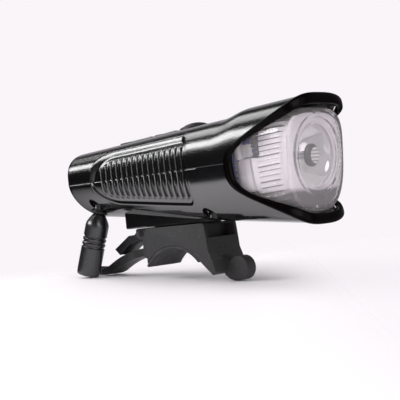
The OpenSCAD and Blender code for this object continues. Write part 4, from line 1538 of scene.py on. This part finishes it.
@dataclass
class LightEngine:
    """Reflector cup inside the lens's ring, its emitter, and the pale liner round it.

    The optic is a profile of radius and depth along the beam. Rest, rib and rail are two corners
    of y and z each. The teeth are given by their lower edges, by a middle and a half width in x.
    """

    mouth_d: float = 25.0
    depth: float = 12.5
    throat_d: float = 8.0
    wall: float = 1.0
    mouth_z: float = 3.1
    facets: int = 8
    flatness: float = 0.8
    facet_start: float = 0.12
    flange_in: tuple[float, float] = (3.0, 2.0)
    flange_y: tuple[float, float] = (2.0, 2.6)
    optic: tuple[tuple[float, float], ...] = (
        (POLE_R, 2.6), (3.4, 2.6), (4.1, 3.1), (4.1, 4.0), (3.4, 4.4), (1.6, 4.7),
        (1.4, 14.6), (1.4, 15.75), (POLE_R, 15.75))
    optic_flat_r: float = 3.3
    slit_hw: float = 0.25
    slit_z: tuple[float, float] = (2.0, 3.1)
    slit_least: float = 0.6
    side_x: tuple[float, float] = (13.5, 16.0)
    rest: tuple[tuple[float, float], ...] = ((-45.6, -11.0), (-41.0, 0.6))
    rib: tuple[tuple[float, float], ...] = ((-46.0, 1.2), (-43.2, 5.6))
    rail: tuple[tuple[float, float], ...] = ((-41.2, -9.0), (-38.8, 0.2))
    post_at: tuple[float, float] = (14.6, -40.4)
    post_r: float = 1.7
    post_z: tuple[float, float] = (0.8, 7.4)
    teeth: tuple[float, ...] = (-8.0, -5.9, -3.8, -1.7)
    tooth_h: float = 0.9
    tooth_x: tuple[float, float] = (17.0, 2.2)
    tooth_y: tuple[float, float] = (-40.2, -38.0)

    def cup(self) -> bpy.types.Object:
        """Bowl: the radius falls with the square root of the way to the throat.

        Returns:
            The cup, whose inside passes from a round mouth to flat facets round the emitter.
        """
        k = np.linspace(0, 1, 48)[:, None]
        a = circle(16 * self.facets)
        r0, r1 = self.throat_d / 2, self.mouth_d / 2 - self.wall
        r = r0 + (r1 - r0) * np.sqrt(1 - k) + 0 * a
        half = np.pi / self.facets
        chord = np.cos(half) / np.cos(a % (2 * half) - half)
        inner = r * (1 + self.flatness * ease(k / self.facet_start) * (chord - 1))
        z = self.depth * k + self.mouth_z + 0 * a
        inside, outside = (np.stack([reach * np.cos(a), reach * np.sin(a), z], -1)
                           for reach in (inner, r + self.wall))
        shell = Shell(BEAM)
        shell.grid(np.concatenate([inside, outside[::-1]]), True, True)
        return shell.build("reflector_cup", FACETED)

    def flange(self) -> Shell:
        """Plate behind the lens's face, from the cup's mouth to the lens's edge.

        Returns:
            The plate, in the casing's frame.
        """
        t = LENS.turns(40, 24)
        x, _ = LENS.outline(t, -self.flange_in[0])
        _, z = LENS.outline(t, -self.flange_in[1])
        hole = self.mouth_d / 2 - self.wall
        xi, zi = -hole * np.cos(t), -RING_Z + hole * np.sin(t)
        front, back = self.flange_y
        loops = [np.stack([a, face_y(b) + depth, b], -1) for a, b, depth in (
            (xi, zi, front), (x, z, front), (x, z, back), (xi, zi, back))]
        shell = Shell(CASING)
        shell.grid(np.stack(loops), True, True)
        return shell

    def emitter(self) -> bpy.types.Object:
        """Emitter: a stem from the board, a head in the middle of the bowl, slits between bars.

        Returns:
            The new object.
        """
        piece = turned(BEAM, np.array(self.optic), 96, False, "emitter_optic", CRISP)
        level, pitch, radius = float(BEAM.move[2]), Louvre.pitch, Louvre.radius
        slits = Shell(BEAM)
        for k in range(-2, 3):
            y = level - pitch * (round(level / pitch) + k)
            reach = math.sqrt(radius ** 2 - y * y) if abs(y) < radius else self.slit_least
            right = min(Louvre.middle + reach, math.sqrt(self.optic_flat_r ** 2 - y * y))
            slits.block((Louvre.middle - reach, y - self.slit_hw, self.slit_z[0]),
                        (right, y + self.slit_hw, self.slit_z[1]))
        carve(piece, slits, Carve.CUT, CRISP)
        return piece

    def moulding(self, side: int, low: Sequence[float], high: Sequence[float]) -> Shell:
        """Block on the liner's flank between two corners of y and z.

        Args:
            side: -1 or 1, for the flank.
            low: Lower corner.
            high: Upper corner.

        Returns:
            The block.
        """
        x0, x1 = sorted(side * x for x in self.side_x)
        shell = Shell(CASING)
        shell.block((x0, *low), (x1, *high))
        return shell

    def liner(self) -> bpy.types.Object:
        """Liner with the mouldings behind the points of the side windows.

        Returns:
            The frame's liner, joined on each side with a rest, a rib, a post and a toothed rail.
        """
        piece = rounded_copy("reflector_frame", 0.2)
        carve(piece, self.flange(), Carve.ADD, CRISP)
        for side in (-1, 1):
            post, teeth = Shell(CASING), Shell(CASING)
            post.rod((side * self.post_at[0], self.post_at[1]), self.post_r, *self.post_z)
            rest, rib, rail = (
                self.moulding(side, *corners) for corners in (self.rest, self.rib, self.rail))
            for tool in (rest, rib, post, rail):
                carve(piece, tool, Carve.ADD, CRISP)
            (x, half), (y0, y1) = self.tooth_x, self.tooth_y
            for low in self.teeth:
                teeth.block((side * x - half, y0, low), (side * x + half, y1, low + self.tooth_h))
            carve(piece, teeth, Carve.CUT, CRISP)
        piece.visible_shadow = False
        return piece


@dataclass
class Controls:
    """Domed button and the foam under the cell."""

    button_r: float = 6.3
    button_h: float = 2.3
    rim: float = 0.35
    rim_h: float = 0.3
    dome_base: float = 0.5
    groove_r: float = 4.7
    groove_w: float = 0.35
    groove_d: float = 0.22
    stem_r: float = 1.7
    stem_z: float = 14.7
    skirt_d: float = 1.0
    foam_hw: float = 5.0
    foam_y: tuple[float, float] = (-13.8, 5.8)
    foam_z: tuple[float, float] = (31.25, 35.6)
    foam_least: float = 0.4
    foam_bulge: float = 0.02
    foam_bow: float = 14.0
    cell_r: float = 9.5
    cell_lift: float = 1.2

    def button(self) -> bpy.types.Object:
        """Dome on a skirt with a shallow groove near its rim, and a stem below.

        Returns:
            The new object.
        """
        top, edge, stem = FORM.crown_h, self.button_r, self.stem_r
        r = np.linspace(edge - self.rim, POLE_R, 30)
        rise = (self.button_h - self.dome_base) * (1 - (r / edge) ** 2)
        groove = self.groove_d * np.exp(-((r - self.groove_r) / self.groove_w) ** 2)
        dome = np.stack([r, top + self.dome_base + rise - groove], -1)
        skirt = np.array([[POLE_R, self.stem_z], [stem, self.stem_z], [stem, top - self.skirt_d],
                          [edge, top - self.skirt_d], [edge, top + self.rim_h]])
        return turned(CASING.moved(0, BUTTON_Y, 0), np.concatenate([skirt, dome]), 96, False,
                      "button_dome")

    def foam(self) -> bpy.types.Object:
        """Foam rest: a block whose top follows the cell, with slightly bulging sides.

        Returns:
            The new object.
        """
        x = np.linspace(-self.foam_hw, self.foam_hw, 24)
        y = np.linspace(*self.foam_y, 30)[:, None]
        base, crest = self.foam_z
        tilt = math.radians(RAIL_TILT)
        axis = AXIS_HEIGHT + self.cell_lift / math.cos(tilt) - math.tan(tilt) * (y + AXIS_BACK)
        top = np.minimum(axis - np.sqrt(self.cell_r ** 2 - x ** 2), crest)
        bulge = 1 - self.foam_bulge * (y / self.foam_bow) ** 2
        upper, lower = (np.stack([x * bulge, y + 0 * x, z], -1) for z in (
            np.maximum(top, base + self.foam_least), base + 0 * top))
        shell = Shell(BAR)
        a, b = shell.grid(upper), shell.grid(lower)
        edge = [np.concatenate([g[0], g[1:, -1], g[-1, -2::-1], g[-2:0:-1, 0]]) for g in (a, b)]
        shell.weave(np.stack(edge), False, True)
        return shell.build("foam_rest", SOFT)


@dataclass
class Lead:
    """Bush, short lead and round connector that hang from the casing."""

    lead_d: float = 3.8
    flange_d: float = 6.4
    flange_low: float = -0.8
    flange_t: float = 1.4
    bush_wall: float = 0.7
    bush_gap: float = 0.1
    bush_top: float = -3.0
    neck_top: float = -4.5
    ripple: float = 0.06
    ripple_pitch: float = 0.9
    plug_d: float = 9.4
    plug_l: float = 25.4
    grooves: tuple[float, ...] = (9.6, 11.5, 13.4)
    groove_hw: float = 0.42
    groove_d: float = 0.45
    socket_d: float = 3.6
    socket_l: float = 9.0

    def bush(self) -> bpy.types.Object:
        """Rubber bush with a rounded flange.

        Returns:
            The new object.
        """
        r, bore = self.lead_d / 2 + self.bush_wall, self.lead_d / 2 + self.bush_gap
        f, z, top = self.flange_d / 2, self.flange_low + self.bush_gap, self.bush_top
        ring = np.array([[bore, top], [r, top], [r, z], [f, z], [f, z + 1], [bore, z + 1]])
        return turned(LEAD, chaikin(ring, 2, True), 64, True, "lead_bush")

    def neck(self) -> bpy.types.Object:
        """Short lead between bush and connector, finely ringed by a cosine along its length.

        Returns:
            The new object.
        """
        z = np.linspace(self.neck_top, self.flange_low + self.flange_t, 40)
        r = self.lead_d / 2 - self.ripple + self.ripple * np.cos(ROUND * z / self.ripple_pitch)
        return turned(LEAD, np.stack([r, z], -1), 48, False, "lead_neck_piece")

    def connector(self) -> bpy.types.Object:
        """Connector: a shoulder cone, a barrel with three grip rings, a mouth with its socket.

        Returns:
            The new object.
        """
        r, socket, end = self.plug_d / 2, self.socket_d / 2, self.plug_l
        nose = np.array([[1.0, 0], [2.3, 0], [r * 0.6, 0.9], [r * 0.78, 2.16], [r, 4.2], [r, 6.5]])
        z = np.linspace(7.0, 18.0, 90)
        rings = sum(np.exp(-((z - at) / self.groove_hw) ** 6) for at in self.grooves)
        barrel = np.stack([r - self.groove_d * rings, z], -1)
        mouth = np.array([[r, 19.0], [r, end - 0.6], [r - 0.6, end], [socket + 0.5, end],
                          [socket, end - 0.5], [socket, end - self.socket_l],
                          [0.3, end - self.socket_l]])
        profile = np.concatenate([chaikin(nose, 2, False), barrel, chaikin(mouth, 2, False)])
        seat = LEAD.moved(0, 0, self.flange_low + self.flange_t)
        return turned(seat, profile, 96, False, "connector_barrel", PLAIN)


@dataclass
class Strap:
    """Rubber strap: an eye round its bar, a beaded band that droops, a slotted pull end."""

    width: float = 9.0
    thick: float = 2.6
    bead: float = 0.5
    bead_w: float = 1.4
    bead_slope: float = 0.3
    rib_hw: tuple[float, float] = (1.2, 0.8)
    rib_h: float = 0.15
    sink: float = 0.3
    start: float = 1.8
    bar_y: float = 14.396
    bar_z: float = 15.399
    bar_d: float = 3.0
    eye_r: float = 2.9
    eye_gap: float = 0.08
    eye_round: float = 0.3
    droop_r: float = 46.0
    droop: float = 27.0
    run: float = 1.5
    curl_r: float = 9.0
    curl: float = 31.0
    tail: float = 9.5
    slot_at: float = 1.5
    slot_l: float = 6.0
    slot_w: float = 6.0
    plate_pow: float = 9.0
    slot_pow: float = 8.0
    plate_round: float = 0.35
    plate_over: float = 0.4

    def line(self) -> tuple[Array, Array]:
        """Middle line: level, an arc down, a straight run, an arc back to level.

        Returns:
            Points of y and z, and the downward angle at each.
        """
        mid = self.bar_z - self.sink
        centre = np.array([self.bar_y + self.start, mid + self.thick / 2 - self.droop_r])
        a = np.radians(np.linspace(0, self.droop, 25))
        down = centre + (self.droop_r - self.thick / 2) * np.stack([np.sin(a), np.cos(a)], -1)
        end = a[-1]
        along = np.array([math.cos(end), -math.sin(end)])
        reach = down[-1] + along * self.run
        turn = reach + self.curl_r * np.array([math.sin(end), math.cos(end)])
        b = np.radians(np.linspace(self.droop, self.droop - self.curl, 25))
        back = turn - self.curl_r * np.stack([np.sin(b), np.cos(b)], -1)
        return np.concatenate([down, back]), np.concatenate([a, b])

    def section(self) -> Array:
        """Closed section: flat below, a bead along each edge and a low rib in the middle above.

        Returns:
            Rows of width and height.
        """
        w, t, high = self.width / 2, self.thick / 2, self.thick / 2 + self.bead
        bead, foot = w - self.bead_w, w - self.bead_w - self.bead_slope
        (wide, slim), crest = self.rib_hw, t + self.rib_h
        ring = np.array([
            [-w, -t], [w, -t], [w, high], [bead, high], [foot, t], [wide, t], [slim, crest],
            [-slim, crest], [-wide, t], [-foot, t], [-bead, high], [-w, high]])
        fine = np.concatenate([
            ring + (np.roll(ring, -1, 0) - ring) * k for k in (0.0, 0.12, 0.88)], 1)
        return chaikin(fine.reshape(-1, 2), 2, True)

    def piece(self) -> bpy.types.Object:
        """Band, eye and slotted pull end as one piece.

        Returns:
            The new object.
        """
        path, angle = self.line()
        shell = Shell(BAR)
        flat = np.zeros(len(path))
        spots = np.stack([flat, path[:, 0], path[:, 1]], -1)
        up = np.stack([flat, np.sin(angle), np.cos(angle)], -1)
        shell.sweep(self.section(), spots, AXIS_X, up)
        self.eye(shell)
        self.pull(shell, path[-1], angle[-1])
        return shell.build("rubber_strap")

    def eye(self, shell: Shell) -> None:
        """Eye: a ring round the bar, rounded at its ends.

        Args:
            shell: Mesh that it is added to.
        """
        bore, r, w, soft = self.bar_d / 2 + self.eye_gap, self.eye_r, self.width / 2, self.eye_round
        ring = np.array([[bore, -w], [r - soft, -w], [r, -w + soft], [r, w - soft],
                         [r - soft, w], [bore, w]])
        a = circle(64)
        rr, x = ring[:, :1], ring[:, 1:]
        points = np.stack([x + 0 * a, self.bar_y + rr * np.cos(a), self.bar_z + rr * np.sin(a)], -1)
        shell.grid(points, True, True)

    def pull(self, shell: Shell, at: Array, angle: float) -> None:
        """Pull end: a plate with a slot, as rings from the slot's wall to the outer edge.

        Args:
            shell: Mesh that it is added to.
            at: End of the band in y and z.
            angle: Downward angle there, in radians.
        """
        a = circle(96)
        half, mid = (self.tail + self.plate_over) / 2, self.slot_at + self.slot_l / 2
        outer = (self.width / 2 * spread(np.cos(a), self.plate_pow),
                 self.tail - half + half * spread(np.sin(a), self.plate_pow))
        inner = (self.slot_w / 2 * spread(np.cos(a), self.slot_pow),
                 mid + self.slot_l / 2 * spread(np.sin(a), self.slot_pow))
        t, r = self.thick / 2, self.plate_round
        mixes = np.array([0, 0, 0.06, 0.5, 0.94, 1, 1, 0.94, 0.5, 0.06])[:, None]
        heights = np.array([-t + r, t - r, t, t, t, t - r, -t + r, -t, -t, -t])[:, None]
        x, s = (near * (1 - mixes) + far * mixes for near, far in zip(inner, outer))
        y = at[0] + s * math.cos(angle) + heights * math.sin(angle)
        z = at[1] - s * math.sin(angle) + heights * math.cos(angle)
        shell.grid(np.stack([x, y, z], -1), True, True)


@dataclass
class Bracket:
    """Saddle with the pocket in its leg, and the rubber liner of its arch."""

    bar_r: float = 15.9
    edge_r: float = 0.45
    pocket_hw: float = 8.2
    pocket_y: tuple[float, float] = (-20.0, -12.6)
    pocket_z: tuple[float, float] = (19.0, 23.7)
    pad_t: float = 1.15
    pad_hw: float = 9.7
    pad_round: float = 0.3
    pad_arc: tuple[float, float] = (36.5, 141.2)

    def saddle(self) -> bpy.types.Object:
        """Frame's saddle with rounded edges and a deep pocket under its rail.

        Returns:
            The new object.
        """
        piece = rounded_copy("bracket_saddle", self.edge_r)
        pocket = Shell(BAR)
        low, high = zip(self.pocket_y, self.pocket_z)
        pocket.block((-self.pocket_hw, *low), (self.pocket_hw, *high))
        carve(piece, pocket, Carve.CUT, CRISP)
        return piece

    def liner(self) -> bpy.types.Object:
        """Arc of a rounded section about the handlebar.

        Returns:
            The new object.
        """
        r, t, w = self.pad_round, self.pad_t, self.pad_hw
        ring = np.array([[-w, r], [-w + r, 0], [w - r, 0], [w, r], [w, t - r], [w - r, t],
                         [-w + r, t], [-w, t - r]])
        a = np.radians(np.linspace(*self.pad_arc, 73))
        out = np.stack([0 * a, np.cos(a), np.sin(a)], -1)
        shell = Shell(BAR)
        shell.sweep(chaikin(ring, 1, True), out * self.bar_r, AXIS_X, out)
        return shell.build("saddle_liner", SOFT)


@dataclass(frozen=True)
class Card:
    """Bright patch of the room that gloss sees: full inside the core, gone past the edge."""

    way: tuple[float, float, float]
    core_cos: float
    edge_cos: float
    colour: Colour


@dataclass(frozen=True)
class SoftBox:
    """Area lamp: its place in metres, its width and height, its watts."""

    name: str
    at: tuple[float, float, float]
    size: tuple[float, float]
    power: float


@dataclass
class Studio:
    """Pale floor, soft lamps, world and camera."""

    floor_z: float = 3.6
    floor_half: float = 400.0
    floor_tones: tuple[Colour, Colour] = ((0.82, 0.80, 0.82), (0.85, 0.83, 0.85))
    eye: tuple[float, float, float] = (-366.0, -315.35, 52.65)
    gaze: tuple[float, float, float] = (0.763, 0.645, -0.039)
    right: tuple[float, float, float] = (0.643, -0.764, -0.043)
    lens_mm: float = 112.5
    fade: tuple[float, float] = (0.25, 0.40)
    far_way: tuple[float, float, float] = (0.32, 1.0, 0.0)
    far_edge: tuple[float, float] = (0.040, 0.095)
    side_edge: tuple[float, float] = (0.022, 0.060)
    side_share: float = 0.8
    room: Colour = (0.012, 0.012, 0.014)
    daylight: Colour = (0.82, 0.80, 0.82)
    backdrop: Colour = (0.947, 0.914, 0.947)
    cards: tuple[Card, ...] = (
        Card((0.763, 0.645, -0.04), 0.93, 0.80, (0.55, 0.53, 0.55)),
        Card((-0.05, -0.99, 0.10), 0.88, 0.66, (0.90, 0.87, 0.90)),
        Card((-0.99, -0.08, 0.10), 0.97, 0.82, (0.30, 0.29, 0.30)),
        Card((0.99, -0.05, 0.10), 0.97, 0.75, (0.30, 0.29, 0.30)),
    )
    lamps: tuple[SoftBox, ...] = (
        SoftBox("over", (0.02, 0.55, 0.70), (0.40, 0.40), 2.0),
        SoftBox("stripe", (-0.58, 0.61, 0.48), (0.60, 0.20), 5.5),
        SoftBox("front", (-0.30, -0.80, 0.45), (0.60, 0.60), 2.5),
    )
    aim: tuple[float, float, float] = (0.0, 0.0, 0.05)

    @staticmethod
    def stand(made: bpy.types.Object, right: Array, up: Array, back: Array, at: Array) -> None:
        """Places a camera or lamp by its axes; it looks against `back`.

        Args:
            made: Camera or lamp.
            right: Its X axis.
            up: Its Y axis.
            back: Its Z axis.
            at: Its place in metres.
        """
        basis = np.eye(4)
        basis[:3] = np.stack([right, up, back, at], -1)
        made.matrix_world = Matrix(basis.tolist())

    def camera(self) -> None:
        """Camera at the photograph's angle."""
        axis = np.array(self.gaze) / np.linalg.norm(self.gaze)
        right = np.array(self.right) - axis * np.dot(axis, self.right)
        right /= np.linalg.norm(right)
        data = bpy.data.cameras.new("camera")
        data.lens, data.sensor_width, data.clip_start = self.lens_mm, 36.0, 0.01
        made = link("camera", data)
        self.stand(made, right, np.cross(right, axis), -axis, np.array(self.eye) * MM)
        bpy.context.scene.camera = made

    def floor(self) -> None:
        """Pale floor under the part that fades into the background with the distance."""
        g = np.linspace(-self.floor_half, self.floor_half, 9)
        x, y = np.meshgrid(g, g)
        shell = Shell(HERE)
        shell.grid(np.stack([x, y, 0 * x + self.floor_z], -1))
        made = shell.build("floor")
        s = Shade.named("floor")
        cloud = s.noise(60.0, 2.0)
        pale = s.principled(base_color=s.mix(cloud, *self.floor_tones),
                            roughness=0.6, specular_ior_level=0.2)
        spot = s.spot()
        away = s.node("ShaderNodeVectorMath", {"operation": "LENGTH"}, {0: spot}, "Value")
        gone = away.step(*self.fade)
        for edge in (s.along(spot, self.far_way).step(*self.far_edge),
                     s.along(spot, self.right).step(*self.side_edge) * self.side_share):
            gone = s.node("ShaderNodeMath", {"operation": "MAXIMUM"}, {0: gone, 1: edge})
        clear = s.node("ShaderNodeBsdfTransparent")
        fade = s.node("ShaderNodeMixShader", {}, {0: gone, 1: pale, 2: clear})
        made.data.materials.append(s.end(fade))

    def lamp(self, box: SoftBox) -> None:
        """Adds a soft box that looks at the part.

        Args:
            box: Sizes of the lamp.
        """
        data = bpy.data.lights.new(box.name, "AREA")
        data.shape, data.energy = "RECTANGLE", box.power
        data.size, data.size_y = box.size
        made = link(box.name, data)
        way = np.array(box.at) - np.array(self.aim)
        way = way / np.linalg.norm(way)
        side = np.cross(AXIS_Z, way)
        side /= np.linalg.norm(side)
        self.stand(made, side, np.cross(way, side), way, np.array(box.at))
        made.visible_camera = False

    def world(self) -> None:
        """Pale world; what gloss sees is bright cards in a dark room."""
        s = Shade(bpy.data.worlds.new("studio"))
        way = s.node("ShaderNodeTexCoord", out="Generated")
        seen: Any = self.room
        for card in self.cards:
            near = s.along(way, card.way).step(card.edge_cos, card.core_cos)
            seen = s.mix(near, seen, card.colour)
        path = "ShaderNodeLightPath"
        glow = s.mix(s.node(path, out="Is Glossy Ray"), self.daylight, seen)
        shown = s.mix(s.node(path, out="Is Camera Ray"), glow, self.backdrop)
        back = s.node("ShaderNodeBackground", {}, {"Color": shown, "Strength": 1.0})
        bpy.context.scene.world = s.end(back)

    def build(self) -> None:
        """Sets up the whole studio."""
        bpy.context.scene.view_settings.view_transform = "Standard"
        self.camera()
        self.floor()
        self.world()
        for box in self.lamps:
            self.lamp(box)


class Headlight:
    """The whole part, body by body."""

    pad_round = 0.3
    lever_round = 0.4
    kept = ("led_board", "heat_sink", "battery_cell", "battery_tabs",
            "driver_board", "tact_switch", "casing_screws", "brass_insert", "connector_contact")

    def __init__(self) -> None:
        """Opens the workshop."""
        self.shop = Workshop()

    def light(self) -> None:
        """Everything that slides on the rail, and the button on it."""
        casing, engine, lead, controls = Casing(), LightEngine(), Lead(), Controls()
        for make, node in (
                (casing.upper, "upper_casing"), (casing.lower, "lower_casing"),
                (Bezel().piece, "bezel"), (Lens().piece, "front_lens"),
                (engine.cup, "reflector"), (engine.liner, "reflector_frame"),
                (engine.emitter, "led_emitter"), (lead.bush, "lead_grommet"),
                (lead.neck, "lead_neck"), (lead.connector, "connector_body")):
            self.shop.fit(make(), node, "light")
        foam = controls.foam()
        self.shop.fit(foam, "battery_foam", "light")
        for node in ("rear_top_pad", "front_top_pad"):
            self.shop.fit(rounded_copy(node, self.pad_round), node, "light")
        self.shop.fit(controls.button(), "mode_button", "button")

    def bracket(self) -> None:
        """Saddle, liner, lever and strap."""
        mount = Bracket()
        self.shop.fit(mount.saddle(), "bracket_saddle", "bracket")
        self.shop.fit(mount.liner(), "saddle_pad", "bracket")
        self.shop.fit(rounded_copy("release_lever", self.lever_round), "release_lever", "lever")
        self.shop.fit(Strap().piece(), "strap", "strap_body")

    def build(self) -> None:
        """Builds all bodies."""
        self.light()
        self.bracket()
        for node in self.kept:
            self.shop.keep(node)


def main() -> None:
    """Builds the studio and the headlight."""
    logging.basicConfig(level=logging.INFO, format="%(name)s: %(message)s")
    Studio().build()
    Headlight().build()


if __name__ == "__main__":
    main()
